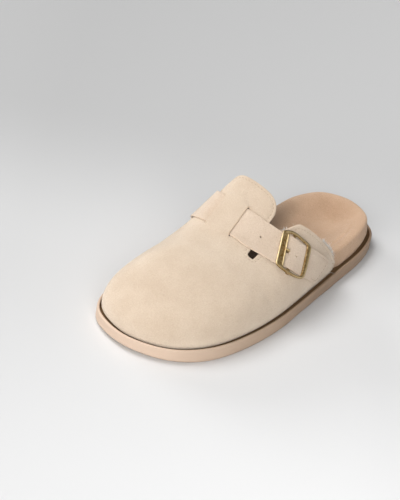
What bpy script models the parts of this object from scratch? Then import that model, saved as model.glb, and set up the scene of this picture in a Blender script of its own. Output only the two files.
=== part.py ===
"""Left clog slipper: flat-soled outsole, contoured footbed, one-piece upper with a
threaded strap, and a fastened two-bar buckle on the lateral quarter.

Frame, in metres: Z up, toe towards -Y, heel towards +Y, lateral side towards +X.
The origin is under the middle of the outsole, on the floor.
"""
import bpy
import bmesh
import math
import numpy as np
from mathutils import Vector
from mathutils.geometry import delaunay_2d_cdt

# Steps of the meshes, which set how finely the solids are cut.
CORNER_STEP = 0.0012
SOLE_STEPS = 112
BED_STEPS = 130
BOTTOM_STEP = 0.0140
FLAT_STEP = 0.0300
BED_STEP = 0.0075
UPPER_STEP = 0.0050
RIM_STEP = 0.0030
STRAP_STEP = 0.0037
STRAP_RIM_STEP = 0.0032
EXTRA_CLEAR = 0.0009
ARC_REACH = 0.030
ARC_STEPS = 61
SLIT_STEPS = 15
SHARP_ANGLE = 40.0
OVAL_STEPS = 20
PIN_STEPS = 12
TOE_STEPS = 73
SIDE_STEPS = 24
RAIL_STEPS = 17
BAR_STEPS = 9
WIRE_STEPS = 10
ROW_RISE = 0.87
EXTRA_REACH = 0.6
CORNER_LIMIT = 0.45
CORNER_LENGTH = 1.6
SHARP_TURN = 0.75
SLOPE_STEP = 1e-4
NORMAL_STEP = 4e-4
MILLI = 1000
SNAP = 1e-7
TINY_AREA = 1e-13

# Driving sizes.
LENGTH = 0.266
BALL_WIDTH = 0.1057
INSTEP_HEIGHT = 0.0874
CUP_HEIGHT = 0.0248
SOLE_HEIGHT = 0.0116
SOLE_FLOOR = 0.0086
RIM_WIDTH = 0.0018
FEATHER_INSET = 0.0038
TOE_SPRING = 0.0028
HEEL_SPRING = 0.0012
WAIST_RISE = 0.0010
TREAD_ROUND = 0.0026
WALL = 0.0022
GAP = 0.0003
SEAT_GAP = 0.0001
SIDE_BULGE = 0.05

# Pattern of the upper: distance from the ridge to the feather edge, and the share
# of the length where the toe cap starts.
HALF_GIRTH = 0.080
CAP_SHARE = 0.27

STRAP_THICKNESS = 0.0016
SLIT_EDGE = 0.0011
SLIT_WIDTH = 0.0005
SLIT_RAMP = 0.0024
SLIT_FADE = 0.0095
SLIT_SPREAD = 0.6
BRIDGE_SPREAD = 0.9
SLIT_POINT = 0.08
SKIVE = 0.0050
BRIDGE_LIFT = 0.0016
SLIT_DROP = STRAP_THICKNESS + 2 * GAP + SLIT_EDGE - BRIDGE_LIFT

FRAME_THICKNESS = 0.0016
FRAME_LIFT = 0.0031
FRAME_CHAMFER = 0.0004
LEG_INSET = 0.055
PIN_TIP = 0.6
CROSSBAR_THICKNESS = 0.0014
PRONG_DIAMETER = 0.0015
PIN_HOLE = 0.0028

# Shares of the length: where the toe spring ends, where the heel spring starts, the
# two ends of the raised waist and the length that it blends over.
TOE_LIFT_SHARE = 0.17
HEEL_LIFT_SHARE = 0.93
WAIST_SHARES = (0.42, 0.68)
WAIST_BLEND = 0.08

# Wall of the outsole from the bottom to the rim: inset as shares of the tread round
# and of the rim width, height as shares of the sole height, the tread round and the
# rim width, and how much of the spring of the underside it takes.
SOLE_WALL = [
    # tread in, rim in, sole up, tread up, rim up, spring
    (0.40, 0.00, 0.0, 0.25, 0.00, 1.0),
    (0.08, 0.00, 0.0, 0.80, 0.00, 0.9),
    (0.00, 0.00, 0.5, 0.00, 0.00, 0.4),
    (0.00, 0.17, 1.0, 0.00, -0.60, 0.0),
    (0.00, 0.44, 1.0, 0.00, -0.10, 0.0),
    (0.00, 0.62, 1.0, 0.00, 0.00, 0.0),
    (0.00, 0.95, 1.0, 0.00, -0.30, 0.0),
]

# Outline of the outsole: share of the length from the toe, then the medial and the
# lateral half width as shares of the ball width.
OUTLINE = [
    # share, medial, lateral
    (0.000, -0.060, -0.060),
    (0.012, -0.243, 0.088),
    (0.040, -0.369, 0.228),
    (0.090, -0.451, 0.349),
    (0.160, -0.488, 0.436),
    (0.250, -0.499, 0.484),
    (0.330, -0.483, 0.500),
    (0.420, -0.443, 0.496),
    (0.520, -0.391, 0.471),
    (0.630, -0.355, 0.437),
    (0.740, -0.348, 0.401),
    (0.840, -0.349, 0.370),
    (0.910, -0.308, 0.323),
    (0.960, -0.236, 0.252),
    (0.988, -0.129, 0.145),
    (1.000, 0.000, 0.000),
]

# Sections of the last: share of the length, ridge position as a share of the ball
# width, ridge height as a share of the instep height, fullness of either side.
SECTIONS = [
    # share, ridge, height, lateral fullness, medial fullness
    (0.20, -0.055, 0.634, 2.55, 1.85),
    (0.27, -0.080, 0.648, 2.48, 1.95),
    (0.36, -0.115, 0.693, 2.30, 2.20),
    (0.45, -0.147, 0.835, 2.13, 2.41),
    (0.54, -0.147, 1.000, 2.12, 2.53),
    (0.63, -0.146, 1.134, 2.11, 2.65),
    (0.72, -0.146, 1.263, 2.11, 2.78),
    (0.85, -0.146, 1.300, 2.11, 2.80),
]

# Free edge of the upper in its pattern, from the lateral feather edge over the
# quarter, the notch, the tongue and the medial quarter to the medial feather edge:
# across and along as shares of the half girth, corner radius as a share of it.
FREE_EDGE = [
    # across, along, corner radius
    (1.000, 1.400, 0.000),
    (0.940, 1.436, 0.030),
    (0.705, 1.120, 0.300),
    (0.504, 0.888, 0.140),
    (0.425, 0.650, 0.200),
    (0.403, 0.292, 0.020),
    (0.350, 0.275, 0.020),
    (0.338, 0.500, 0.100),
    (0.335, 0.815, 0.135),
    (-0.325, 0.812, 0.140),
    (-0.390, 0.560, 0.200),
    (-0.445, 0.400, 0.100),
    (-0.488, 0.225, 0.020),
    (-0.538, 0.228, 0.020),
    (-0.562, 0.420, 0.100),
    (-0.538, 0.640, 0.200),
    (-0.555, 0.905, 0.120),
    (-0.700, 1.110, 0.300),
    (-0.940, 1.420, 0.030),
    (-1.000, 1.388, 0.000),
]

# The two slits that the strap is threaded through, as shares of the half girth.
SLITS = [
    # across, front end, rear end
    (0.150, 0.285, 0.622),
    (-0.120, 0.285, 0.622),
]

# Rings of points round each slit: distance from it, reach past its ends, step.
SLIT_RINGS = [
    # distance, reach, step
    (0.0014, 0.0016, 0.0020),
    (0.0036, 0.0030, 0.0024),
    (0.0064, 0.0050, 0.0030),
]

# Stations of the strap from the medial feather edge to its free end: its rear and
# front edge in the pattern of the upper, as shares of the half girth.
STRAP = [
    # rear across, rear along, front across, front along
    (-0.975, 1.060, -0.975, 0.760),
    (-0.750, 0.900, -0.750, 0.590),
    (-0.500, 0.735, -0.500, 0.430),
    (-0.290, 0.625, -0.290, 0.336),
    (-0.120, 0.590, -0.120, 0.313),
    (0.000, 0.585, 0.000, 0.310),
    (0.150, 0.592, 0.150, 0.315),
    (0.253, 0.602, 0.270, 0.312),
    (0.347, 0.632, 0.400, 0.368),
    (0.420, 0.664, 0.503, 0.430),
    (0.480, 0.710, 0.578, 0.498),
    (0.538, 0.756, 0.644, 0.569),
    (0.580, 0.792, 0.690, 0.620),
    (0.628, 0.852, 0.742, 0.682),
    (0.680, 0.930, 0.785, 0.742),
    (0.735, 1.016, 0.828, 0.812),
    (0.792, 1.108, 0.870, 0.888),
    (0.846, 1.194, 0.908, 0.966),
]
MEDIAL_SLIT_ROW = 4
LATERAL_SLIT_ROW = 6
CROSSBAR_ROW = 11

# Rise of the strap over the crossbar: distance from the crossbar, height of the
# underside of the strap over the upper.
STRAP_RISE = [
    # distance, underside
    (-0.0240, GAP),
    (-0.0165, 0.0009),
    (-0.0125, 0.0012),
    (-0.0067, 0.0012),
    (-0.0036, 0.0020),
    (0.0018, 0.0020),
    (0.0090, 0.0012),
    (0.0130, 0.0011),
    (0.0210, GAP),
]
STRAP_END_RADIUS = 0.0035
STRAP_EASE = 0.02
# Round cut-out through strap and upper on the medial side.
VENT_ACROSS = -0.640
VENT_RADIUS = 0.0044
VENT_CLEARANCE = 0.0008
VENT_SQUEEZE = 0.85

# Frame of the buckle: distances along the strap from the crossbar, and half widths
# as shares of the half width of the strap.
FRAME_FRONT = -0.0122
FRAME_REAR = 0.0144
WIDE_BAR = 0.0055
THIN_BAR = 0.0034
RAIL = 0.19
RAIL_CORNER = 1.07
RAIL_BOW = 0.29
FRAME_ASIDE = -0.035
CROSSBAR_HALF = 0.0010
PIN_HOLE_AT = -0.0046

# Pin of the buckle: distance from the crossbar as a share of that of the pin hole,
# height as a share of the rise from the crossbar to the top of the frame.
PIN_PATH = [
    # distance, height
    (0.520, 0.000),
    (0.740, 0.020),
    (0.900, 0.085),
    (0.985, 0.234),
    (1.017, 0.468),
    (1.055, 0.809),
    (1.160, 0.957),
    (1.345, 1.000),
    (1.890, 1.000),
]

# Footbed: share of the length, height of the edge and of the middle as shares of
# the cup height.
FOOTBED = [
    # share, edge, middle
    (0.00, 0.580, 0.520),
    (0.20, 0.600, 0.520),
    (0.40, 0.660, 0.540),
    (0.52, 0.760, 0.580),
    (0.64, 0.880, 0.610),
    (0.76, 0.970, 0.620),
    (0.90, 1.000, 0.610),
    (1.00, 1.000, 0.640),
]
FOOTBED_SIDE_GAP = 0.0005
FOOTBED_LEAN = 0.0020
FOOTBED_LIP = 0.0036
LIP_DROP = 0.0032
LIP_SHARE = 0.45
LEAN_SHARE = 0.9
CUP_SLOPE = 0.0230
BARE_FROM = 0.705
BARE_TO = 0.760


def cubic(x, xs, ys):
    """Natural cubic spline through (xs, ys); straight beyond both ends."""
    x = np.asarray(x, float)
    xs = np.asarray(xs, float)
    ys = np.asarray(ys, float)
    n = len(xs)
    h = np.diff(xs)
    m = np.zeros((n, n))
    r = np.zeros(n)
    m[0, 0] = m[-1, -1] = 1.0
    for i in range(1, n - 1):
        m[i, i - 1:i + 2] = h[i - 1], 2 * (h[i - 1] + h[i]), h[i]
        r[i] = 6 * ((ys[i + 1] - ys[i]) / h[i] - (ys[i] - ys[i - 1]) / h[i - 1])
    k = np.linalg.solve(m, r)
    i = np.clip(np.searchsorted(xs, x) - 1, 0, n - 2)
    u = np.clip(x, xs[0], xs[-1]) - xs[i]
    v = h[i] - u
    y = (k[i] * v ** 3 + k[i + 1] * u ** 3) / (6 * h[i])
    y += (ys[i] / h[i] - k[i] * h[i] / 6) * v + (ys[i + 1] / h[i] - k[i + 1] * h[i] / 6) * u
    low = (ys[1] - ys[0]) / h[0] - h[0] * k[1] / 6
    high = (ys[-1] - ys[-2]) / h[-1] + h[-1] * k[-2] / 6
    return y + low * np.minimum(x - xs[0], 0) + high * np.maximum(x - xs[-1], 0)


def ease(t):
    """Smooth step from 0 to 1."""
    t = np.clip(t, 0.0, 1.0)
    return t * t * (3 - 2 * t)


def column(table, i):
    return np.array([row[i] for row in table])


def share_of_length(y):
    """Share of the length from the toe at a distance y from the middle."""
    return y / LENGTH + 0.5


def closed_outline(count=720):
    """Outline of the outsole, toe at -LENGTH / 2, running toe, lateral, heel, medial."""
    y = (column(OUTLINE, 0) - 0.5) * LENGTH
    lateral = np.c_[column(OUTLINE, 2) * BALL_WIDTH, y]
    medial = np.c_[column(OUTLINE, 1) * BALL_WIDTH, y][-2:0:-1]
    p = np.vstack([lateral, medial])
    p = np.vstack([p[-6:], p, p[:7]])
    d = np.r_[0, np.cumsum(np.hypot(*np.diff(p, axis=0).T))]
    t = np.linspace(d[6], d[-7], count, endpoint=False)
    line = np.c_[cubic(t, d, p[:, 0]), cubic(t, d, p[:, 1])]
    return line - (line.min(0) + line.max(0)) / 2


def outward(loop):
    t = np.roll(loop, -2, 0) - np.roll(loop, 2, 0)
    t /= np.hypot(t[:, 0], t[:, 1])[:, None]
    return np.c_[t[:, 1], -t[:, 0]]


EDGE = closed_outline()
EDGE_OUT = outward(EDGE)
if ((EDGE - EDGE.mean(0)) * EDGE_OUT).sum() < 0:
    EDGE_OUT = -EDGE_OUT


def inset(distance):
    return EDGE - EDGE_OUT * np.reshape(distance, (-1, 1))


# The last.
FEATHER_HEIGHT = SOLE_FLOOR + GAP
FEATHER = inset(FEATHER_INSET)
CAP_Y = (CAP_SHARE - 0.5) * LENGTH
SECTION_Y = (column(SECTIONS, 0) - 0.5) * LENGTH


def ridge_x(y):
    return cubic(y, SECTION_Y, column(SECTIONS, 1) * BALL_WIDTH)


def ridge_z(y):
    return cubic(y, SECTION_Y, column(SECTIONS, 2) * INSTEP_HEIGHT)


def side_edges():
    toe = FEATHER[np.argmin(FEATHER[:, 1])]
    heel = FEATHER[np.argmax(FEATHER[:, 1])]
    share = (FEATHER[:, 1] - toe[1]) / (heel[1] - toe[1])
    right = FEATHER[:, 0] > toe[0] + share * (heel[0] - toe[0])
    lateral = FEATHER[right]
    medial = FEATHER[~right]
    return lateral[np.argsort(lateral[:, 1])], medial[np.argsort(medial[:, 1])]


LATERAL_EDGE, MEDIAL_EDGE = side_edges()
CAP_CENTRE = np.array([float(ridge_x(CAP_Y)), CAP_Y])
_ray = FEATHER - CAP_CENTRE
_angle = np.arctan2(_ray[:, 0], -_ray[:, 1])
_order = np.argsort(_angle)
CAP_ANGLE = _angle[_order]
CAP_REACH = np.hypot(_ray[:, 0], _ray[:, 1])[_order]


def last(a, b):
    """Point of the last. a runs across from the ridge, b along from the cap line.

    Behind the cap line every section is a superellipse quarter per side; in the cap
    the same profile is turned along rays from the ridge.
    """
    a = np.asarray(a, float)
    b = np.asarray(b, float)
    rear = b >= 0
    r = np.where(rear, np.abs(a), np.hypot(a, b)) / HALF_GIRTH
    turn = r * math.pi / 2
    ray = np.arctan2(a, -b)
    y = CAP_Y + np.maximum(b, 0)
    lateral = cubic(y, SECTION_Y, column(SECTIONS, 3))
    medial = cubic(y, SECTION_Y, column(SECTIONS, 4))
    side = ease((np.clip(ray, -math.pi / 2, math.pi / 2) + math.pi / 2) / math.pi)
    side = np.where(rear, a > 0, side)
    n = lateral * side + medial * (1 - side)
    s = np.sin(np.minimum(turn, math.pi))
    c = np.cos(np.minimum(turn, math.pi))
    rho = (np.abs(s) ** n + np.abs(c) ** n) ** (-1 / n)
    bulge = 1 + SIDE_BULGE * 2 * np.sin(2 * np.minimum(turn, math.pi / 2)) * s ** 4
    out = rho * s * bulge
    up = rho * c
    x_ridge = ridge_x(y)
    x_edge = np.where(a > 0, np.interp(y, LATERAL_EDGE[:, 1], LATERAL_EDGE[:, 0]),
                      np.interp(y, MEDIAL_EDGE[:, 1], MEDIAL_EDGE[:, 0]))
    reach = np.interp(ray, CAP_ANGLE, CAP_REACH) * out
    slope = (ridge_z(CAP_Y + SLOPE_STEP) - ridge_z(CAP_Y)) / SLOPE_STEP
    x = np.where(rear, x_ridge + (x_edge - x_ridge) * out, CAP_CENTRE[0] + reach * np.sin(ray))
    yy = np.where(rear, y, CAP_CENTRE[1] - reach * np.cos(ray))
    top = np.where(rear, ridge_z(y), ridge_z(CAP_Y) - slope * reach * np.cos(ray))
    z = FEATHER_HEIGHT + (top - FEATHER_HEIGHT) * up
    return np.stack([x, yy, z], -1)


def last_normal(a, b):
    e = NORMAL_STEP
    n = np.cross(last(a + e, b) - last(a - e, b), last(a, b + e) - last(a, b - e))
    return n / np.linalg.norm(n, axis=-1)[..., None]


def on_last(a, b, lift):
    return last(a, b) + last_normal(a, b) * np.asarray(lift)[..., None]


# Flat patterns.
def rounded(corners, step=CORNER_STEP):
    """Open polyline through corner points, each rounded with its own radius."""
    p = np.array([c[:2] for c in corners], float)
    out = [p[0]]
    for i in range(1, len(p) - 1):
        u = p[i - 1] - p[i]
        v = p[i + 1] - p[i]
        lu, lv = np.hypot(*u), np.hypot(*v)
        u, v = u / lu, v / lv
        half = math.acos(float(np.clip(u @ v, -1, 1))) / 2
        cut = min(corners[i][2] / math.tan(half), CORNER_LIMIT * lu, CORNER_LIMIT * lv)
        count = max(2, int(cut * CORNER_LENGTH / step))
        for t in np.linspace(0, 1, count + 1):
            a = p[i] + u * cut * (1 - t)
            b = p[i] + v * cut * t
            out.append(a * (1 - t) + b * t)
    out.append(p[-1])
    return np.array(out)


def resample(line, step, closed=False):
    """Points about a step apart along a polyline; sharp corners are kept."""
    p = np.vstack([line, line[:1]]) if closed else line
    out = []
    keep = [0]
    for i in range(1, len(p) - 1):
        u, v = p[i] - p[i - 1], p[i + 1] - p[i]
        if u @ v < SHARP_TURN * np.hypot(*u) * np.hypot(*v):
            keep.append(i)
    keep.append(len(p) - 1)
    for i, j in zip(keep[:-1], keep[1:]):
        seg = p[i:j + 1]
        d = np.r_[0, np.cumsum(np.hypot(*np.diff(seg, axis=0).T))]
        n = max(1, int(round(d[-1] / step)))
        t = np.linspace(0, d[-1], n + 1)[:-1]
        out.append(np.c_[np.interp(t, d, seg[:, 0]), np.interp(t, d, seg[:, 1])])
    if not closed:
        out.append(p[-1:])
    return np.vstack(out)


def inside(q, loop):
    x, y = q[:, 0:1], q[:, 1:2]
    x0, y0 = loop[:, 0], loop[:, 1]
    x1, y1 = np.roll(x0, -1), np.roll(y0, -1)
    cross = (y0 > y) != (y1 > y)
    at = x0 + (y - y0) * (x1 - x0) / np.where(y1 == y0, 1e-12, y1 - y0)
    return (cross & (x < at)).sum(1) % 2 == 1


def distance(q, loop):
    p0 = loop
    p1 = np.roll(loop, -1, 0)
    d = p1 - p0
    t = ((q[:, None] - p0) * d).sum(-1) / np.maximum((d * d).sum(-1), 1e-15)
    near = p0 + np.clip(t, 0, 1)[..., None] * d
    return np.sqrt(((q[:, None] - near) ** 2).sum(-1)).min(1)


def triangulate(loops, step, extra=None):
    """Flat triangles inside the first loop and outside the others."""
    rim = np.vstack(loops)
    low, high = loops[0].min(0), loops[0].max(0)
    rows = int((high[1] - low[1]) / (step * ROW_RISE)) + 1
    grid = []
    for j in range(rows + 1):
        x = np.arange(low[0] + (j % 2) * step / 2, high[0], step)
        grid.append(np.c_[x, np.full(len(x), low[1] + j * step * ROW_RISE)])
    grid = np.vstack(grid)
    if extra is not None:
        far = np.sqrt(((grid[:, None] - extra) ** 2).sum(-1)).min(1) > EXTRA_REACH * step
        grid = np.vstack([extra, grid[far]])
    keep = inside(grid, loops[0])
    for k, loop in enumerate(loops):
        if k:
            keep &= ~inside(grid, loop)
        gap = np.full(len(grid), 0.5 * step)
        if extra is not None:
            gap[:len(extra)] = EXTRA_CLEAR
        keep &= distance(grid, loop) > gap
    pts = np.vstack([rim, grid[keep]])
    edges = []
    start = 0
    for loop in loops:
        n = len(loop)
        edges += [(start + i, start + (i + 1) % n) for i in range(n)]
        start += n
    res = delaunay_2d_cdt([Vector(p) for p in pts * MILLI], edges, [], 0, SNAP)
    flat = np.array([tuple(v) for v in res[0]]) / MILLI
    tri = np.array([f for f in res[2] if len(f) == 3])
    mid = flat[tri].mean(1)
    ok = inside(mid, loops[0])
    for loop in loops[1:]:
        ok &= ~inside(mid, loop)
    tri = tri[ok]
    a, b, c = flat[tri[:, 0]], flat[tri[:, 1]], flat[tri[:, 2]]
    area = np.cross(b - a, c - a)
    tri[area < 0] = tri[area < 0][:, ::-1]
    return flat, tri[np.abs(area) > TINY_AREA]


def sheet(flat, tri, outer, inner):
    """Closed solid between two mappings of the same flat pattern."""
    n = len(flat)
    verts = np.vstack([outer, inner])
    edge_set = {}
    for t in tri:
        for i in range(3):
            edge_set[(t[i], t[(i + 1) % 3])] = True
    faces = [tuple(t) for t in tri] + [tuple(t[::-1] + n) for t in tri]
    for (i, j) in edge_set:
        if (j, i) not in edge_set:
            faces.append((j, i, i + n, j + n))
    return verts, faces


def add_object(name, verts, faces, finish):
    mesh = bpy.data.meshes.new(name)
    mesh.from_pydata([tuple(map(float, v)) for v in verts], [],
                     [tuple(int(i) for i in f) for f in faces])
    bm = bmesh.new()
    bm.from_mesh(mesh)
    bmesh.ops.recalc_face_normals(bm, faces=bm.faces)
    bm.to_mesh(mesh)
    bm.free()
    obj = bpy.data.objects.new(name, mesh)
    bpy.context.scene.collection.objects.link(obj)
    mesh.materials.append(finish)
    mesh.shade_smooth()
    mesh.set_sharp_from_angle(angle=math.radians(SHARP_ANGLE))
    return obj


def material(name, colour, roughness, metallic=0.0):
    mat = bpy.data.materials.new(name)
    mat.use_nodes = True
    shader = mat.node_tree.nodes["Principled BSDF"]
    shader.inputs["Base Color"].default_value = (*colour, 1.0)
    shader.inputs["Roughness"].default_value = roughness
    shader.inputs["Metallic"].default_value = metallic
    return mat


# Outsole.
def underside(p):
    """Height of the underside: toe and heel spring and a slight rise at the waist."""
    t = share_of_length(p[:, 1])
    z = TOE_SPRING * np.clip(1 - t / TOE_LIFT_SHARE, 0, 1) ** 2
    z += HEEL_SPRING * np.clip((t - HEEL_LIFT_SHARE) / (1 - HEEL_LIFT_SHARE), 0, 1) ** 2
    waist = ease((t - WAIST_SHARES[0]) / WAIST_BLEND) * ease((WAIST_SHARES[1] - t) / WAIST_BLEND)
    return z + WAIST_RISE * waist


def outsole():
    """Bottom, a ring for each row of the wall's table, and the floor inside the rim."""
    count = SOLE_STEPS
    keep = np.linspace(0, len(EDGE), count, endpoint=False).astype(int)
    base = inset(TREAD_ROUND)[keep]
    flat, tri = triangulate([base], BOTTOM_STEP)
    bottom = np.c_[flat, underside(flat)]
    low = underside(base)
    rings = [bottom[:count]]
    for tread_in, rim_in, sole_up, tread_up, rim_up, share in SOLE_WALL:
        inward = tread_in * TREAD_ROUND + rim_in * RIM_WIDTH
        height = sole_up * SOLE_HEIGHT + tread_up * TREAD_ROUND + rim_up * RIM_WIDTH
        rings.append(np.c_[inset(inward)[keep], height + share * low])
    rings.append(np.c_[inset(RIM_WIDTH)[keep], np.full(count, SOLE_FLOOR)])
    verts = [bottom]
    faces = [tuple(t[::-1]) for t in tri]
    at = [np.arange(count)]
    total = len(bottom)
    for ring in rings[1:]:
        at.append(np.arange(total, total + count))
        verts.append(ring)
        total += count
    for lower, upper in zip(at[:-1], at[1:]):
        for i in range(count):
            j = (i + 1) % count
            faces.append((lower[i], lower[j], upper[j], upper[i]))
    top, top_tri = triangulate([rings[-1][:, :2]], FLAT_STEP)
    link = list(at[-1]) + list(range(total, total + len(top) - count))
    verts.append(np.c_[top[count:], np.full(len(top) - count, SOLE_FLOOR)])
    faces += [tuple(link[i] for i in t) for t in top_tri]
    return np.vstack(verts), faces


# Footbed.
def footbed():
    """Cupped top over the height table, a lip, and a wall down to the outsole."""
    count = BED_STEPS
    keep = np.linspace(0, len(EDGE), count, endpoint=False).astype(int)
    share = share_of_length(EDGE[:, 1])
    bare = ease((share - BARE_FROM) / (BARE_TO - BARE_FROM))
    covered = FEATHER_INSET + WALL + FOOTBED_SIDE_GAP
    side = covered + (FEATHER_INSET - covered) * bare
    rim_share = column(FOOTBED, 0)
    rim = cubic(share, rim_share, column(FOOTBED, 1)) * CUP_HEIGHT
    lean = FOOTBED_LEAN * bare
    base = inset(side)[keep]
    domain = inset(side + lean)[keep]
    flat, tri = triangulate([domain], BED_STEP)
    t = share_of_length(flat[:, 1])
    edge_z = cubic(t, rim_share, column(FOOTBED, 1)) * CUP_HEIGHT
    mid_z = cubic(t, rim_share, column(FOOTBED, 2)) * CUP_HEIGHT
    deep = distance(flat, domain)
    fall = ease((deep - FOOTBED_LIP) / CUP_SLOPE)
    z = edge_z + (mid_z - edge_z) * fall
    z[:count] = edge_z[:count] - LIP_SHARE * LIP_DROP
    floor = SOLE_FLOOR + SEAT_GAP
    top = np.c_[flat, z]
    lip = np.c_[inset(side + LEAN_SHARE * lean)[keep], rim[keep] - LIP_DROP]
    foot = np.c_[base, np.full(count, floor)]
    verts = [top, lip, foot]
    faces = [tuple(f) for f in tri]
    a = np.arange(count)
    b = a + len(top)
    c = b + count
    for upper, lower in ((a, b), (b, c)):
        for i in range(count):
            j = (i + 1) % count
            faces.append((upper[j], upper[i], lower[i], lower[j]))
    low, low_tri = triangulate([base], FLAT_STEP)
    start = len(top) + len(lip) + len(foot)
    link = list(c) + list(range(start, start + len(low) - count))
    verts.append(np.c_[low[count:], np.full(len(low) - count, floor)])
    faces += [tuple(link[i] for i in t[::-1]) for t in low_tri]
    return np.vstack(verts), faces


# Slits.
def arc_from(a0, b, sign):
    """Distance on the last from a0 along a section, as a table over the pattern."""
    a = a0 + sign * np.linspace(0, ARC_REACH, ARC_STEPS)
    p = last(a, np.full(ARC_STEPS, b))
    d = np.r_[0, np.cumsum(np.linalg.norm(np.diff(p, axis=0), axis=1))]
    return a, d


def slit_fields(a, b):
    """Lift of the outer face of the upper and thickness of its wall."""
    lift = np.zeros_like(a)
    wall = np.full_like(a, WALL)
    lateral, medial = [tuple(HALF_GIRTH * v for v in row) for row in SLITS]
    for (at, front, rear), sign in ((lateral, 1), (medial, -1)):
        mid = (front + rear) / 2
        ta, td = arc_from(at, mid, sign)
        out = np.interp(sign * a, sign * ta, td) * (sign * (a - at) > 0)
        beyond = np.minimum(b - front, rear - b)
        reach = SLIT_SPREAD * out
        level = ease((beyond + reach) / (SLIT_RAMP + reach))
        fade = np.clip(1 - out / SLIT_FADE, 0, 1) ** 2
        outer = sign * (a - at) > 0
        lift = np.where(outer, -SLIT_DROP * level * fade, lift)
    bridge = (a <= lateral[0]) & (a >= medial[0])
    la, ld = arc_from(lateral[0], (lateral[1] + lateral[2]) / 2, -1)
    ma, md = arc_from(medial[0], (medial[1] + medial[2]) / 2, 1)
    depth = np.minimum(np.interp(-a, -la, ld), np.interp(a, ma, md))
    beyond = np.minimum(b - lateral[1], lateral[2] - b)
    reach = BRIDGE_SPREAD * depth
    level = ease((beyond + reach) / (SLIT_RAMP + reach))
    lift = np.where(bridge, BRIDGE_LIFT * level, lift)
    thin = (WALL - SLIT_EDGE) * level * (1 - ease(depth / SKIVE))
    wall = np.where(bridge, wall - thin, wall)
    return lift, wall


def slit_loop(row):
    at, front, rear = [HALF_GIRTH * v for v in row]
    t = np.linspace(0, 1, SLIT_STEPS)
    half = SLIT_WIDTH / 2 * np.sqrt(np.clip(np.minimum(t, 1 - t) / SLIT_POINT, 0, 1))
    y = front + (rear - front) * t
    right = np.c_[at + half, y]
    left = np.c_[at - half, y][-2:0:-1]
    return np.vstack([right, left])


def oval(centre, radius_a, radius_b, count=OVAL_STEPS):
    t = np.linspace(0, 2 * math.pi, count, endpoint=False)
    return np.c_[centre[0] + radius_a * np.cos(t), centre[1] + radius_b * np.sin(t)]


# Strap path.
STRAP_ROWS = np.array(STRAP) * HALF_GIRTH
_k = np.arange(len(STRAP_ROWS), dtype=float)


def strap_rows(k):
    return np.stack([cubic(k, _k, STRAP_ROWS[:, i]) for i in range(4)], -1)


_fine = np.linspace(0, len(STRAP_ROWS) - 1, 400)
_rows = strap_rows(_fine)
_mid = on_last((_rows[:, 0] + _rows[:, 2]) / 2, (_rows[:, 1] + _rows[:, 3]) / 2,
               np.full(400, STRAP_THICKNESS / 2))
_arc = np.r_[0, np.cumsum(np.linalg.norm(np.diff(_mid, axis=0), axis=1))]
_zero = np.interp(CROSSBAR_ROW, _fine, _arc)
STRAP_START = -_zero
STRAP_STOP = _arc[-1] - _zero
LATERAL_SLIT_AT = np.interp(LATERAL_SLIT_ROW, _fine, _arc) - _zero
MEDIAL_SLIT_AT = np.interp(MEDIAL_SLIT_ROW, _fine, _arc) - _zero
_side = np.linalg.norm(on_last(_rows[:, 0], _rows[:, 1], np.zeros(400))
                       - on_last(_rows[:, 2], _rows[:, 3], np.zeros(400)), axis=1)
HALF_WIDTH = float(np.interp(CROSSBAR_ROW, _fine, _side)) / 2


def along_strap(s, w):
    """Pattern position at a distance s from the crossbar and a share w of the width."""
    k = np.interp(s + _zero, _arc, _fine)
    row = strap_rows(k)
    share = (w + 1) / 2
    a = row[..., 2] + (row[..., 0] - row[..., 2]) * share
    b = row[..., 3] + (row[..., 1] - row[..., 3]) * share
    return a, b


def strap_underside(s):
    inner = np.minimum(LATERAL_SLIT_AT - s, s - MEDIAL_SLIT_AT)
    outer = np.maximum(s - LATERAL_SLIT_AT, MEDIAL_SLIT_AT - s)
    dip = -SLIT_DROP * np.clip(1 - np.maximum(outer, 0) / SLIT_FADE, 0, 1) ** 2
    deep = -(WALL - SLIT_EDGE) * ease(inner / SKIVE)
    rise = np.interp(s, column(STRAP_RISE, 0), column(STRAP_RISE, 1))
    return np.where(inner > 0, GAP - SLIT_DROP + deep, rise + dip)


def strap_point(s, w, height):
    a, b = along_strap(s, w)
    return on_last(a, b, strap_underside(s) + height)


def strap():
    end = STRAP_END_RADIUS
    s = np.array([STRAP_START, STRAP_STOP])
    w = np.full(2, HALF_WIDTH)
    right = [(x, -y, STRAP_EASE) for x, y in zip(s, w)]
    left = [(x, y, STRAP_EASE) for x, y in zip(s[::-1], w[::-1])]
    right[0] = (s[0], -w[0], 0.0)
    left[-1] = (s[0], w[0], 0.0)
    right[-1] = (s[-1], -w[-1], end)
    left[0] = (s[-1], w[-1], end)
    loop = resample(rounded(right + left), STRAP_RIM_STEP, closed=True)
    vent = oval((VENT_AT, 0.0), VENT_RADIUS, VENT_RADIUS)
    pin = oval((PIN_HOLE_AT, 0.0), PIN_HOLE / 2, PIN_HOLE / 2, PIN_STEPS)
    flat, tri = triangulate([loop, vent, pin], STRAP_STEP)
    at, share = flat[:, 0], flat[:, 1] / HALF_WIDTH
    top = strap_point(at, share, np.full(len(flat), STRAP_THICKNESS))
    low = strap_point(at, share, np.zeros(len(flat)))
    return sheet(flat, tri, top, low)


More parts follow.
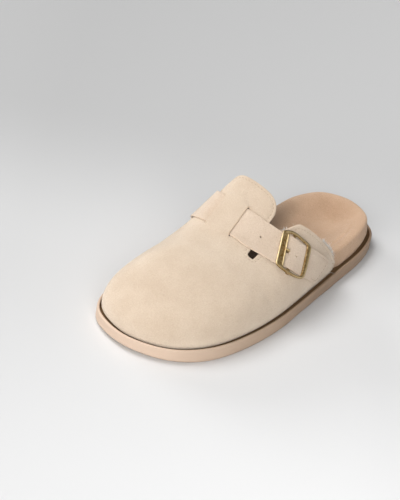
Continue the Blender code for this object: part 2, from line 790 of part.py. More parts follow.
# Upper.
def upper():
    h = HALF_GIRTH
    free = resample(rounded([(a * h, b * h, r * h) for a, b, r in FREE_EDGE]), RIM_STEP)
    t = np.linspace(-math.pi / 2, math.pi / 2, TOE_STEPS)
    toe = np.c_[h * np.sin(t), -h * np.cos(t)]
    left = np.c_[np.full(SIDE_STEPS, -h), np.linspace(free[-1, 1], 0, SIDE_STEPS + 1)[1:]]
    right = np.c_[np.full(SIDE_STEPS, h), np.linspace(0, free[0, 1], SIDE_STEPS + 1)[:-1]]
    loop = np.vstack([free, left, toe[1:-1], right])
    vent_a, vent_b = along_strap(VENT_AT, 0.0)
    clear = VENT_RADIUS + VENT_CLEARANCE
    hole = oval((vent_a, vent_b), clear * VENT_SQUEEZE, clear)
    extra = []
    for row in SLITS:
        at, front, rear = [h * v for v in row]
        for off, ends, step in SLIT_RINGS:
            y = np.arange(front - ends, rear + ends, step)
            extra.append(np.c_[np.full(len(y), at - off), y])
            extra.append(np.c_[np.full(len(y), at + off), y])
    loops = [loop, slit_loop(SLITS[0]), slit_loop(SLITS[1]), hole]
    flat, tri = triangulate(loops, UPPER_STEP, np.vstack(extra))
    a, b = flat[:, 0], flat[:, 1]
    lift, wall = slit_fields(a, b)
    return sheet(flat, tri, on_last(a, b, lift), on_last(a, b, lift - wall))


# Buckle.
def tube(rings):
    """Closed solid through equal closed rings with a flat cap on both ends."""
    n = len(rings[0])
    verts = np.vstack(rings)
    faces = [tuple(range(n))[::-1], tuple(range(len(verts) - n, len(verts)))]
    for k in range(len(rings) - 1):
        for i in range(n):
            j = (i + 1) % n
            faces.append((k * n + i, k * n + j, (k + 1) * n + j, (k + 1) * n + i))
    return verts, faces


def frame_point(s, w, height):
    a, b = along_strap(s, w)
    return on_last(a, b, height)


def rail_edge(t, inner):
    """Half width of a rail over t from -1 at the front bar to 1 at the rear bar."""
    bow = RAIL_BOW * (1 - t * t)
    return RAIL_CORNER + bow - (RAIL if inner else 0.0)


def buckle_frame():
    """Two bars and two bowed rails over the strap; a crossbar under it on two legs."""
    outer, inner = [], []
    half = (FRAME_REAR - FRAME_FRONT) / 2
    mid = (FRAME_REAR + FRAME_FRONT) / 2
    t = np.linspace(-1, 1, RAIL_STEPS)
    s_in = np.linspace(FRAME_FRONT + WIDE_BAR, FRAME_REAR - THIN_BAR, RAIL_STEPS)
    w_in = rail_edge((s_in - mid) / half, True)
    for sign in (1, -1):
        s_out = mid + half * t * sign
        outer.append(np.c_[s_out, sign * rail_edge(t * sign, False)])
        inner.append(np.c_[s_in[::sign], sign * w_in[::sign]])
    bar = np.linspace(1, -1, BAR_STEPS)[1:-1]
    ends = []
    for part, at_rear, at_front in ((outer, FRAME_REAR, FRAME_FRONT),
                                    (inner, s_in[-1], s_in[0])):
        rear_w = part[0][-1, 1]
        front_w = part[0][0, 1]
        rear = np.c_[np.full(len(bar), at_rear), rear_w * bar]
        front = np.c_[np.full(len(bar), at_front), -front_w * bar]
        ends.append(np.vstack([part[0], rear, part[1], front]))
    out, inn = ends
    n = len(out)
    toward = (inn - out)
    unit = toward / np.hypot(toward[:, 0], toward[:, 1] * HALF_WIDTH)[:, None]
    low, high = FRAME_LIFT, FRAME_LIFT + FRAME_THICKNESS
    section = [
        (out, low), (out, high - FRAME_CHAMFER), (out + unit * FRAME_CHAMFER, high),
        (inn - unit * FRAME_CHAMFER, high), (inn, high - FRAME_CHAMFER), (inn, low),
    ]
    rings = [frame_point(p[:, 0], p[:, 1] + FRAME_ASIDE, np.full(n, z)) for p, z in section]
    verts = np.vstack(rings)
    faces = []
    for k in range(len(section)):
        m = (k + 1) % len(section)
        for i in range(n):
            j = (i + 1) % n
            faces.append((k * n + i, k * n + j, m * n + j, m * n + i))
    return verts, faces


def crossbar():
    """Flat bar under the strap, its two legs reaching up into the rails."""
    w = rail_edge(0.0, False) - LEG_INSET
    w_inner = rail_edge(0.0, True) + LEG_INSET
    low = GAP
    high = GAP + CROSSBAR_THICKNESS
    top = FRAME_LIFT + FRAME_THICKNESS / 2
    share = np.linspace(-1, 1, BAR_STEPS)
    under = [(w * v, low) for v in share]
    over = [(w_inner * v, high) for v in share[::-1]]
    profile = under + [(w, top), (w_inner, top)] + over + [(-w_inner, top), (-w, top)]
    rings = []
    for s in (-CROSSBAR_HALF, 0.0, CROSSBAR_HALF):
        p = np.array(profile)
        rings.append(frame_point(np.full(len(p), s), p[:, 0] + FRAME_ASIDE, p[:, 1]))
    return tube(rings)


def buckle_prong():
    """Pin from beside the crossbar, up through the hole of the strap, onto the bar."""
    r = PRONG_DIAMETER / 2
    low = GAP + r
    high = FRAME_LIFT + FRAME_THICKNESS + GAP + r
    path = np.c_[PIN_HOLE_AT * column(PIN_PATH, 0), low + (high - low) * column(PIN_PATH, 1)]
    path = np.vstack([[(-CROSSBAR_HALF - GAP, low)], path])
    step = np.gradient(path, axis=0)
    step /= np.hypot(step[:, 0], step[:, 1])[:, None]
    turn = np.linspace(0, 2 * math.pi, WIRE_STEPS, endpoint=False)
    size = np.full(len(path), r)
    size[-1] = PIN_TIP * r
    rings = []
    for p, d, radius in zip(path, step, size):
        s = p[0] - d[1] * radius * np.cos(turn)
        z = p[1] + d[0] * radius * np.cos(turn)
        rings.append(frame_point(s, radius * np.sin(turn) / HALF_WIDTH, z))
    return tube(rings)


for old in list(bpy.data.objects):
    bpy.data.objects.remove(old, do_unlink=True)

VENT_AT = float(np.interp(VENT_ACROSS * HALF_GIRTH,
                          (_rows[:, 0] + _rows[:, 2]) / 2, _arc - _zero))

SUEDE = (0.80, 0.68, 0.53)
SOLE_TAN = (0.52, 0.36, 0.24)
BED_TAN = (0.50, 0.32, 0.20)
BRASS = (0.42, 0.31, 0.14)

add_object("outsole", *outsole(), material("sole_foam", SOLE_TAN, 0.75))
add_object("footbed", *footbed(), material("footbed_suede", BED_TAN, 0.9))
add_object("upper", *upper(), material("upper_suede", SUEDE, 0.9))
add_object("strap", *strap(), material("strap_suede", SUEDE, 0.9))
frame = add_object("buckle_frame", *buckle_frame(), material("frame_brass", BRASS, 0.35, 1.0))
bar = add_object("crossbar_cutter", *crossbar(), frame.data.materials[0])
join = frame.modifiers.new("crossbar", "BOOLEAN")
join.operation = "UNION"
join.solver = "EXACT"
join.object = bar
bar.hide_render = True
bar.display_type = "WIRE"
add_object("buckle_prong", *buckle_prong(), material("prong_brass", BRASS, 0.35, 1.0))
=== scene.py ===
"""Looks of a left clog slipper: suede upper lined with fleece, a strap threaded through
it, a brass buckle, a suede footbed and a foam outsole, on a pale studio floor.

Units are metres. The frame is the CAD part's: Z up, toe towards -Y, lateral side +X.
"""
import math
import bmesh
import bpy
import numpy as np
from mathutils import Matrix, Vector
from mathutils.geometry import delaunay_2d_cdt


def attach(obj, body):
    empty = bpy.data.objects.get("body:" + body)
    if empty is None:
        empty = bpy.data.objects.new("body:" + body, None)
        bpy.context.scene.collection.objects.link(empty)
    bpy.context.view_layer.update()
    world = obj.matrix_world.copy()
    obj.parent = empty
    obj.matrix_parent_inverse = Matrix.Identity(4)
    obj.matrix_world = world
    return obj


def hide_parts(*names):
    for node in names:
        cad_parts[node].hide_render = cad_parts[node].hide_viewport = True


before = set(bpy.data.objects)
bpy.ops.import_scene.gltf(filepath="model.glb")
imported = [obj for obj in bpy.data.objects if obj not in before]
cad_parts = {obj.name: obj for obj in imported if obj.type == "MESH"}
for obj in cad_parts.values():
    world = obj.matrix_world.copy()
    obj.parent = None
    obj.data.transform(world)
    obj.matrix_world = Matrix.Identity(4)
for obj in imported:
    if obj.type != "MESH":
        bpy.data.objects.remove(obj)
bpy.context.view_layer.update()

# Sizes of the part, the same as in its source.
LENGTH = 0.266
BALL_WIDTH = 0.1057
INSTEP_HEIGHT = 0.0874
CUP_HEIGHT = 0.0248
SOLE_HEIGHT = 0.0116
SOLE_FLOOR = 0.0086
RIM_WIDTH = 0.0018
FEATHER_INSET = 0.0038
TOE_SPRING = 0.0028
HEEL_SPRING = 0.0012
WAIST_RISE = 0.0010
TREAD_ROUND = 0.0026
WALL = 0.0022
GAP = 0.0003
SEAT_GAP = 0.0001
SIDE_BULGE = 0.05
HALF_GIRTH = 0.080
CAP_SHARE = 0.27

STRAP_THICKNESS = 0.0016
SLIT_EDGE = 0.0011
SLIT_WIDTH = 0.0005
SLIT_RAMP = 0.0024
SLIT_FADE = 0.0095
SKIVE = 0.0050
BRIDGE_LIFT = 0.0016
SLIT_DROP = STRAP_THICKNESS + 2 * GAP + SLIT_EDGE - BRIDGE_LIFT

FRAME_THICKNESS = 0.0016
FRAME_LIFT = 0.0031
CROSSBAR_THICKNESS = 0.0014
PRONG_DIAMETER = 0.0015
PIN_HOLE = 0.0028

# Shares of the length: where the toe spring ends, where the heel spring starts, the
# two ends of the raised waist and the length that it blends over.
TOE_LIFT_SHARE = 0.17
HEEL_LIFT_SHARE = 0.93
WAIST_SHARES = (0.42, 0.68)
WAIST_BLEND = 0.08

# Outline of the outsole: share of the length from the toe, then the medial and the
# lateral half width as shares of the ball width.
OUTLINE = [
    # share, medial, lateral
    (0.000, -0.060, -0.060),
    (0.012, -0.243, 0.088),
    (0.040, -0.369, 0.228),
    (0.090, -0.451, 0.349),
    (0.160, -0.488, 0.436),
    (0.250, -0.499, 0.484),
    (0.330, -0.483, 0.500),
    (0.420, -0.443, 0.496),
    (0.520, -0.391, 0.471),
    (0.630, -0.355, 0.437),
    (0.740, -0.348, 0.401),
    (0.840, -0.349, 0.370),
    (0.910, -0.308, 0.323),
    (0.960, -0.236, 0.252),
    (0.988, -0.129, 0.145),
    (1.000, 0.000, 0.000),
]

# Sections of the last: share of the length, ridge position as a share of the ball
# width, ridge height as a share of the instep height, fullness of either side.
SECTIONS = [
    # share, ridge, height, lateral fullness, medial fullness
    (0.20, -0.055, 0.634, 2.55, 1.85),
    (0.27, -0.080, 0.648, 2.48, 1.95),
    (0.36, -0.115, 0.693, 2.30, 2.20),
    (0.45, -0.147, 0.835, 2.13, 2.41),
    (0.54, -0.147, 1.000, 2.12, 2.53),
    (0.63, -0.146, 1.134, 2.11, 2.65),
    (0.72, -0.146, 1.263, 2.11, 2.78),
    (0.85, -0.146, 1.300, 2.11, 2.80),
]

# Free edge of the upper in its pattern, from the lateral feather edge over the
# quarter, the notch, the tongue and the medial quarter to the medial feather edge:
# across and along as shares of the half girth, corner radius as a share of it.
FREE_EDGE = [
    # across, along, corner radius
    (1.000, 1.400, 0.000),
    (0.940, 1.436, 0.030),
    (0.705, 1.120, 0.300),
    (0.504, 0.888, 0.140),
    (0.425, 0.650, 0.200),
    (0.403, 0.292, 0.020),
    (0.350, 0.275, 0.020),
    (0.338, 0.500, 0.100),
    (0.335, 0.815, 0.135),
    (-0.325, 0.812, 0.140),
    (-0.390, 0.560, 0.200),
    (-0.445, 0.400, 0.100),
    (-0.488, 0.225, 0.020),
    (-0.538, 0.228, 0.020),
    (-0.562, 0.420, 0.100),
    (-0.538, 0.640, 0.200),
    (-0.555, 0.905, 0.120),
    (-0.700, 1.110, 0.300),
    (-0.940, 1.420, 0.030),
    (-1.000, 1.388, 0.000),
]

# The two slits that the strap is threaded through, as shares of the half girth.
SLITS = [
    # across, front end, rear end
    (0.150, 0.285, 0.622),
    (-0.120, 0.285, 0.622),
]

# Stations of the strap from the medial feather edge to its free end: its rear and
# front edge in the pattern of the upper, as shares of the half girth.
STRAP = [
    # rear across, rear along, front across, front along
    (-0.975, 1.060, -0.975, 0.760),
    (-0.750, 0.900, -0.750, 0.590),
    (-0.500, 0.735, -0.500, 0.430),
    (-0.290, 0.625, -0.290, 0.336),
    (-0.120, 0.590, -0.120, 0.313),
    (0.000, 0.585, 0.000, 0.310),
    (0.150, 0.592, 0.150, 0.315),
    (0.253, 0.602, 0.270, 0.312),
    (0.347, 0.632, 0.400, 0.368),
    (0.420, 0.664, 0.503, 0.430),
    (0.480, 0.710, 0.578, 0.498),
    (0.538, 0.756, 0.644, 0.569),
    (0.580, 0.792, 0.690, 0.620),
    (0.628, 0.852, 0.742, 0.682),
    (0.680, 0.930, 0.785, 0.742),
    (0.735, 1.016, 0.828, 0.812),
    (0.792, 1.108, 0.870, 0.888),
    (0.846, 1.194, 0.908, 0.966),
]
MEDIAL_SLIT_ROW = 4
LATERAL_SLIT_ROW = 6
CROSSBAR_ROW = 11

# Rise of the strap over the crossbar: distance from the crossbar, height of the
# underside of the strap over the upper.
STRAP_RISE = [
    # distance, underside
    (-0.0240, GAP),
    (-0.0165, 0.0009),
    (-0.0125, 0.0012),
    (-0.0067, 0.0012),
    (-0.0036, 0.0020),
    (0.0018, 0.0020),
    (0.0090, 0.0012),
    (0.0130, 0.0011),
    (0.0210, GAP),
]
STRAP_END_RADIUS = 0.0035
# Round cut-out through strap and upper on the medial side.
VENT_ACROSS = -0.640
VENT_RADIUS = 0.0044
VENT_CLEARANCE = 0.0008

# Frame of the buckle: distances along the strap from the crossbar, and half widths
# as shares of the half width of the strap.
FRAME_FRONT = -0.0122
FRAME_REAR = 0.0144
WIDE_BAR = 0.0055
THIN_BAR = 0.0034
RAIL = 0.19
RAIL_CORNER = 1.07
RAIL_BOW = 0.29
FRAME_ASIDE = -0.035
CROSSBAR_HALF = 0.0010
PIN_HOLE_AT = -0.0046

# Pin of the buckle: distance from the crossbar as a share of that of the pin hole,
# height as a share of the rise from the crossbar to the top of the frame.
PIN_PATH = [
    # distance, height
    (0.520, 0.000),
    (0.740, 0.020),
    (0.900, 0.085),
    (0.985, 0.234),
    (1.017, 0.468),
    (1.055, 0.809),
    (1.160, 0.957),
    (1.345, 1.000),
    (1.890, 1.000),
]

# Footbed: share of the length, height of the edge and of the middle as shares of
# the cup height.
FOOTBED = [
    # share, edge, middle
    (0.00, 0.580, 0.520),
    (0.20, 0.600, 0.520),
    (0.40, 0.660, 0.540),
    (0.52, 0.760, 0.580),
    (0.64, 0.880, 0.610),
    (0.76, 0.970, 0.620),
    (0.90, 1.000, 0.610),
    (1.00, 1.000, 0.640),
]
FOOTBED_SIDE_GAP = 0.0005
FOOTBED_LEAN = 0.0020
FOOTBED_LIP = 0.0036
LIP_DROP = 0.0032
CUP_SLOPE = 0.0230
BARE_FROM = 0.705
BARE_TO = 0.760

# Points of the outline, and how many of its table's run on past the closing point.
OUTLINE_POINTS = 720
WRAP = 6
# Differences in metres for the slope of the ridge and for normals.
SLOPE_STEP = 1e-4
NORMAL_STEP = 4e-4
# Rounded corners: the share of a side that one may take, the length of its arc over
# that of its cut, the step along it and along a line, the cosine of a sharp turn.
CORNER_LIMIT = 0.45
CORNER_LENGTH = 1.6
CORNER_STEP = 0.0006
LINE_STEP = 0.0011
SHARP_TURN = 0.75
# Distances from the slits: reach and steps of the table, how fast the drop beside a
# slit and the rise of the bridge spread past its ends.
ARC_REACH = 0.030
ARC_STEPS = 61
SLIT_SPREAD = 0.6
BRIDGE_SPREAD = 0.9
# Width of the round cut-out over its length in the pattern, steps of the strap's path.
VENT_SQUEEZE = 0.85
PATH_STEPS = 400
# Flat triangles: rise of a row, how clear a grid point stays of an extra point and of
# a rim, in steps, and how clear an extra point stays of a rim, in metres.
ROW_RISE = 0.87
EXTRA_REACH = 0.62
RIM_REACH = 0.45
EXTRA_CLEAR = 0.00012
# Points per block of a search, scale of the triangulation and its smallest values.
BLOCK = 3000
MILLI = 1000
SNAP = 1e-7
TINY = 1e-12
TINY_SQUARE = 1e-15
TINY_AREA = 1e-14


def cubic(x, xs, ys):
    """Natural cubic spline through (xs, ys); straight beyond both ends."""
    x = np.asarray(x, float)
    xs = np.asarray(xs, float)
    ys = np.asarray(ys, float)
    n = len(xs)
    h = np.diff(xs)
    m = np.zeros((n, n))
    r = np.zeros(n)
    m[0, 0] = m[-1, -1] = 1.0
    for i in range(1, n - 1):
        m[i, i - 1:i + 2] = h[i - 1], 2 * (h[i - 1] + h[i]), h[i]
        r[i] = 6 * ((ys[i + 1] - ys[i]) / h[i] - (ys[i] - ys[i - 1]) / h[i - 1])
    k = np.linalg.solve(m, r)
    i = np.clip(np.searchsorted(xs, x) - 1, 0, n - 2)
    u = np.clip(x, xs[0], xs[-1]) - xs[i]
    v = h[i] - u
    y = (k[i] * v ** 3 + k[i + 1] * u ** 3) / (6 * h[i])
    y += (ys[i] / h[i] - k[i] * h[i] / 6) * v + (ys[i + 1] / h[i] - k[i + 1] * h[i] / 6) * u
    low = (ys[1] - ys[0]) / h[0] - h[0] * k[1] / 6
    high = (ys[-1] - ys[-2]) / h[-1] + h[-1] * k[-2] / 6
    return y + low * np.minimum(x - xs[0], 0) + high * np.maximum(x - xs[-1], 0)


def ease(t):
    """Smooth step from 0 to 1."""
    t = np.clip(t, 0.0, 1.0)
    return t * t * (3 - 2 * t)


def column(table, i):
    """One column of a table."""
    return np.array([row[i] for row in table])


def share_of_length(y):
    """Share of the length from the toe at a distance y from the middle."""
    return y / LENGTH + 0.5


def closed_outline():
    """Outline of the outsole, toe at -LENGTH / 2, running toe, lateral, heel, medial.

    Spline through the table's points by distance along them, centred on its box.
    """
    y = (column(OUTLINE, 0) - 0.5) * LENGTH
    lateral = np.c_[column(OUTLINE, 2) * BALL_WIDTH, y]
    medial = np.c_[column(OUTLINE, 1) * BALL_WIDTH, y][-2:0:-1]
    p = np.vstack([lateral, medial])
    p = np.vstack([p[-WRAP:], p, p[:WRAP + 1]])
    d = np.r_[0, np.cumsum(np.hypot(*np.diff(p, axis=0).T))]
    t = np.linspace(d[WRAP], d[-WRAP - 1], OUTLINE_POINTS, endpoint=False)
    line = np.c_[cubic(t, d, p[:, 0]), cubic(t, d, p[:, 1])]
    return line - (line.min(0) + line.max(0)) / 2


def outward(loop):
    """Unit normals of a closed line: the tangent turned by a quarter turn."""
    t = np.roll(loop, -2, 0) - np.roll(loop, 2, 0)
    t /= np.hypot(t[:, 0], t[:, 1])[:, None]
    return np.c_[t[:, 1], -t[:, 0]]


EDGE = closed_outline()
EDGE_OUT = outward(EDGE)
if ((EDGE - EDGE.mean(0)) * EDGE_OUT).sum() < 0:
    EDGE_OUT = -EDGE_OUT


def inset(distance):
    """Outline moved in along its normals."""
    return EDGE - EDGE_OUT * np.reshape(distance, (-1, 1))


# The last.
FEATHER_HEIGHT = SOLE_FLOOR + GAP
FEATHER = inset(FEATHER_INSET)
CAP_Y = (CAP_SHARE - 0.5) * LENGTH
SECTION_Y = (column(SECTIONS, 0) - 0.5) * LENGTH


def ridge_x(y):
    """Place of the last's ridge across, by spline through the sections."""
    return cubic(y, SECTION_Y, column(SECTIONS, 1) * BALL_WIDTH)


def ridge_z(y):
    """Height of the last's ridge, by spline through the sections."""
    return cubic(y, SECTION_Y, column(SECTIONS, 2) * INSTEP_HEIGHT)


def side_edges():
    """Feather edge in two halves, split along the line from toe to heel."""
    toe = FEATHER[np.argmin(FEATHER[:, 1])]
    heel = FEATHER[np.argmax(FEATHER[:, 1])]
    share = (FEATHER[:, 1] - toe[1]) / (heel[1] - toe[1])
    right = FEATHER[:, 0] > toe[0] + share * (heel[0] - toe[0])
    lateral = FEATHER[right]
    medial = FEATHER[~right]
    return lateral[np.argsort(lateral[:, 1])], medial[np.argsort(medial[:, 1])]


LATERAL_EDGE, MEDIAL_EDGE = side_edges()
CAP_CENTRE = np.array([float(ridge_x(CAP_Y)), CAP_Y])
FEATHER_RAY = FEATHER - CAP_CENTRE
FEATHER_ANGLE = np.arctan2(FEATHER_RAY[:, 0], -FEATHER_RAY[:, 1])
FEATHER_ORDER = np.argsort(FEATHER_ANGLE)
CAP_ANGLE = FEATHER_ANGLE[FEATHER_ORDER]
CAP_REACH = np.hypot(FEATHER_RAY[:, 0], FEATHER_RAY[:, 1])[FEATHER_ORDER]


def last(a, b):
    """Point of the last. a runs across from the ridge, b along from the cap line.

    Behind the cap line every section is a superellipse quarter per side; in the cap
    the same profile is turned along rays from the ridge.
    """
    a = np.asarray(a, float)
    b = np.asarray(b, float)
    rear = b >= 0
    r = np.where(rear, np.abs(a), np.hypot(a, b)) / HALF_GIRTH
    turn = r * math.pi / 2
    ray = np.arctan2(a, -b)
    y = CAP_Y + np.maximum(b, 0)
    lateral = cubic(y, SECTION_Y, column(SECTIONS, 3))
    medial = cubic(y, SECTION_Y, column(SECTIONS, 4))
    side = ease((np.clip(ray, -math.pi / 2, math.pi / 2) + math.pi / 2) / math.pi)
    side = np.where(rear, a > 0, side)
    n = lateral * side + medial * (1 - side)
    s = np.sin(np.minimum(turn, math.pi))
    c = np.cos(np.minimum(turn, math.pi))
    rho = (np.abs(s) ** n + np.abs(c) ** n) ** (-1 / n)
    bulge = 1 + SIDE_BULGE * 2 * np.sin(2 * np.minimum(turn, math.pi / 2)) * s ** 4
    out = rho * s * bulge
    up = rho * c
    x_ridge = ridge_x(y)
    x_edge = np.where(a > 0, np.interp(y, LATERAL_EDGE[:, 1], LATERAL_EDGE[:, 0]),
                      np.interp(y, MEDIAL_EDGE[:, 1], MEDIAL_EDGE[:, 0]))
    reach = np.interp(ray, CAP_ANGLE, CAP_REACH) * out
    slope = (ridge_z(CAP_Y + SLOPE_STEP) - ridge_z(CAP_Y)) / SLOPE_STEP
    x = np.where(rear, x_ridge + (x_edge - x_ridge) * out, CAP_CENTRE[0] + reach * np.sin(ray))
    yy = np.where(rear, y, CAP_CENTRE[1] - reach * np.cos(ray))
    top = np.where(rear, ridge_z(y), ridge_z(CAP_Y) - slope * reach * np.cos(ray))
    z = FEATHER_HEIGHT + (top - FEATHER_HEIGHT) * up
    return np.stack([x, yy, z], -1)


def last_normal(a, b):
    """Unit normal of the last: cross product of its two central differences."""
    e = NORMAL_STEP
    n = np.cross(last(a + e, b) - last(a - e, b), last(a, b + e) - last(a, b - e))
    return n / np.linalg.norm(n, axis=-1)[..., None]


def on_last(a, b, lift):
    """Point of the last moved out along its normal by a lift."""
    return last(a, b) + last_normal(a, b) * np.asarray(lift)[..., None]


# Flat patterns.
def rounded(corners):
    """Open polyline through corner points, each rounded with its own radius."""
    p = np.array([c[:2] for c in corners], float)
    out = [p[0]]
    for i in range(1, len(p) - 1):
        u = p[i - 1] - p[i]
        v = p[i + 1] - p[i]
        lu, lv = np.hypot(*u), np.hypot(*v)
        u, v = u / lu, v / lv
        half = math.acos(float(np.clip(u @ v, -1, 1))) / 2
        cut = min(corners[i][2] / math.tan(half), CORNER_LIMIT * lu, CORNER_LIMIT * lv)
        count = max(2, int(cut * CORNER_LENGTH / CORNER_STEP))
        for t in np.linspace(0, 1, count + 1):
            a = p[i] + u * cut * (1 - t)
            b = p[i] + v * cut * t
            out.append(a * (1 - t) + b * t)
    out.append(p[-1])
    return np.array(out)


def resample(line, step, closed=False):
    """Points about a step apart along a polyline; sharp corners are kept."""
    p = np.vstack([line, line[:1]]) if closed else line
    out = []
    keep = [0]
    for i in range(1, len(p) - 1):
        u, v = p[i] - p[i - 1], p[i + 1] - p[i]
        if u @ v < SHARP_TURN * np.hypot(*u) * np.hypot(*v):
            keep.append(i)
    keep.append(len(p) - 1)
    for i, j in zip(keep[:-1], keep[1:]):
        seg = p[i:j + 1]
        d = np.r_[0, np.cumsum(np.hypot(*np.diff(seg, axis=0).T))]
        n = max(1, int(round(d[-1] / step)))
        t = np.linspace(0, d[-1], n + 1)[:-1]
        out.append(np.c_[np.interp(t, d, seg[:, 0]), np.interp(t, d, seg[:, 1])])
    if not closed:
        out.append(p[-1:])
    return np.vstack(out)


def inside(q, loop):
    """Which points lie in a closed line: an odd number of its edges crossed to the left."""
    x, y = q[:, 0:1], q[:, 1:2]
    x0, y0 = loop[:, 0], loop[:, 1]
    x1, y1 = np.roll(x0, -1), np.roll(y0, -1)
    cross = (y0 > y) != (y1 > y)
    at = x0 + (y - y0) * (x1 - x0) / np.where(y1 == y0, TINY, y1 - y0)
    return (cross & (x < at)).sum(1) % 2 == 1


def underside(p):
    """Height of the underside: toe and heel spring and a slight rise at the waist."""
    t = share_of_length(p[:, 1])
    z = TOE_SPRING * np.clip(1 - t / TOE_LIFT_SHARE, 0, 1) ** 2
    z += HEEL_SPRING * np.clip((t - HEEL_LIFT_SHARE) / (1 - HEEL_LIFT_SHARE), 0, 1) ** 2
    waist = ease((t - WAIST_SHARES[0]) / WAIST_BLEND) * ease((WAIST_SHARES[1] - t) / WAIST_BLEND)
    return z + WAIST_RISE * waist


def arc_from(a0, b, sign):
    """Distance on the last from a0 along a section, as a table over the pattern."""
    a = a0 + sign * np.linspace(0, ARC_REACH, ARC_STEPS)
    p = last(a, np.full(ARC_STEPS, b))
    d = np.r_[0, np.cumsum(np.linalg.norm(np.diff(p, axis=0), axis=1))]
    return a, d


def slit_fields(a, b):
    """Lift of the outer face of the upper and thickness of its wall.

    Beside each slit the face drops and fades out; the bridge between them rises, and
    its wall is skived towards both slits.
    """
    lift = np.zeros_like(a)
    wall = np.full_like(a, WALL)
    lateral, medial = [tuple(HALF_GIRTH * v for v in row) for row in SLITS]
    for (at, front, rear), sign in ((lateral, 1), (medial, -1)):
        mid = (front + rear) / 2
        ta, td = arc_from(at, mid, sign)
        out = np.interp(sign * a, sign * ta, td) * (sign * (a - at) > 0)
        beyond = np.minimum(b - front, rear - b)
        reach = SLIT_SPREAD * out
        level = ease((beyond + reach) / (SLIT_RAMP + reach))
        fade = np.clip(1 - out / SLIT_FADE, 0, 1) ** 2
        outer = sign * (a - at) > 0
        lift = np.where(outer, -SLIT_DROP * level * fade, lift)
    bridge = (a <= lateral[0]) & (a >= medial[0])
    la, ld = arc_from(lateral[0], (lateral[1] + lateral[2]) / 2, -1)
    ma, md = arc_from(medial[0], (medial[1] + medial[2]) / 2, 1)
    depth = np.minimum(np.interp(-a, -la, ld), np.interp(a, ma, md))
    beyond = np.minimum(b - lateral[1], lateral[2] - b)
    reach = BRIDGE_SPREAD * depth
    level = ease((beyond + reach) / (SLIT_RAMP + reach))
    lift = np.where(bridge, BRIDGE_LIFT * level, lift)
    thin = (WALL - SLIT_EDGE) * level * (1 - ease(depth / SKIVE))
    wall = np.where(bridge, wall - thin, wall)
    return lift, wall


def oval(centre, radius_a, radius_b, count):
    """Ellipse round a centre in the pattern."""
    t = np.linspace(0, 2 * math.pi, count, endpoint=False)
    return np.c_[centre[0] + radius_a * np.cos(t), centre[1] + radius_b * np.sin(t)]


# Strap path.
STRAP_ROWS = np.array(STRAP) * HALF_GIRTH
ROW_NUMBERS = np.arange(len(STRAP_ROWS), dtype=float)


def strap_rows(k):
    """Rows of the strap's table at any place between them, by spline."""
    return np.stack([cubic(k, ROW_NUMBERS, STRAP_ROWS[:, i]) for i in range(4)], -1)


PATH_ROWS = np.linspace(0, len(STRAP_ROWS) - 1, PATH_STEPS)
PATH_EDGES = strap_rows(PATH_ROWS)
PATH_MID = (PATH_EDGES[:, 0] + PATH_EDGES[:, 2]) / 2
PATH_POINTS = on_last(PATH_MID, (PATH_EDGES[:, 1] + PATH_EDGES[:, 3]) / 2,
                      np.full(PATH_STEPS, STRAP_THICKNESS / 2))
PATH_ARC = np.r_[0, np.cumsum(np.linalg.norm(np.diff(PATH_POINTS, axis=0), axis=1))]
CROSSBAR_ARC = np.interp(CROSSBAR_ROW, PATH_ROWS, PATH_ARC)
STRAP_START = -CROSSBAR_ARC
STRAP_STOP = PATH_ARC[-1] - CROSSBAR_ARC
LATERAL_SLIT_AT = np.interp(LATERAL_SLIT_ROW, PATH_ROWS, PATH_ARC) - CROSSBAR_ARC
MEDIAL_SLIT_AT = np.interp(MEDIAL_SLIT_ROW, PATH_ROWS, PATH_ARC) - CROSSBAR_ARC
PATH_WIDTH = np.linalg.norm(
    on_last(PATH_EDGES[:, 0], PATH_EDGES[:, 1], np.zeros(PATH_STEPS))
    - on_last(PATH_EDGES[:, 2], PATH_EDGES[:, 3], np.zeros(PATH_STEPS)), axis=1)
HALF_WIDTH = float(np.interp(CROSSBAR_ROW, PATH_ROWS, PATH_WIDTH)) / 2


def along_strap(s, w):
    """Pattern position at a distance s from the crossbar and a share w of the width."""
    k = np.interp(s + CROSSBAR_ARC, PATH_ARC, PATH_ROWS)
    row = strap_rows(k)
    share = (w + 1) / 2
    a = row[..., 2] + (row[..., 0] - row[..., 2]) * share
    b = row[..., 3] + (row[..., 1] - row[..., 3]) * share
    return a, b


def strap_underside(s):
    """Height of the strap's underside: the table's rise, a dip at the slits and the
    level under the bridge."""
    inner = np.minimum(LATERAL_SLIT_AT - s, s - MEDIAL_SLIT_AT)
    outer = np.maximum(s - LATERAL_SLIT_AT, MEDIAL_SLIT_AT - s)
    dip = -SLIT_DROP * np.clip(1 - np.maximum(outer, 0) / SLIT_FADE, 0, 1) ** 2
    deep = -(WALL - SLIT_EDGE) * ease(inner / SKIVE)
    rise = np.interp(s, column(STRAP_RISE, 0), column(STRAP_RISE, 1))
    return np.where(inner > 0, GAP - SLIT_DROP + deep, rise + dip)


def strap_point(s, w, height):
    """Point of the strap at a height over its underside."""
    a, b = along_strap(s, w)
    return on_last(a, b, strap_underside(s) + height)


def frame_point(s, w, height):
    """Point of the buckle at a height over the upper."""
    a, b = along_strap(s, w)
    return on_last(a, b, height)


def rail_edge(t, inner):
    """Half width of a rail over t from -1 at the front bar to 1 at the rear bar."""
    bow = RAIL_BOW * (1 - t * t)
    return RAIL_CORNER + bow - (RAIL if inner else 0.0)


VENT_AT = float(np.interp(VENT_ACROSS * HALF_GIRTH, PATH_MID, PATH_ARC - CROSSBAR_ARC))

# Suede of the upper: its thickness, the rounding of its cut edges and of the slits'
# lips, how far the slits stop short of the part's own and the share that a point takes.
SUEDE_THICKNESS = 0.0013
UPPER_EDGE_RADIUS = 0.0007
LIP_RADIUS = 0.0004
INNER_RADIUS = 0.0005
SLIT_TRIM = 0.0010
SLIT_POINT = 0.09
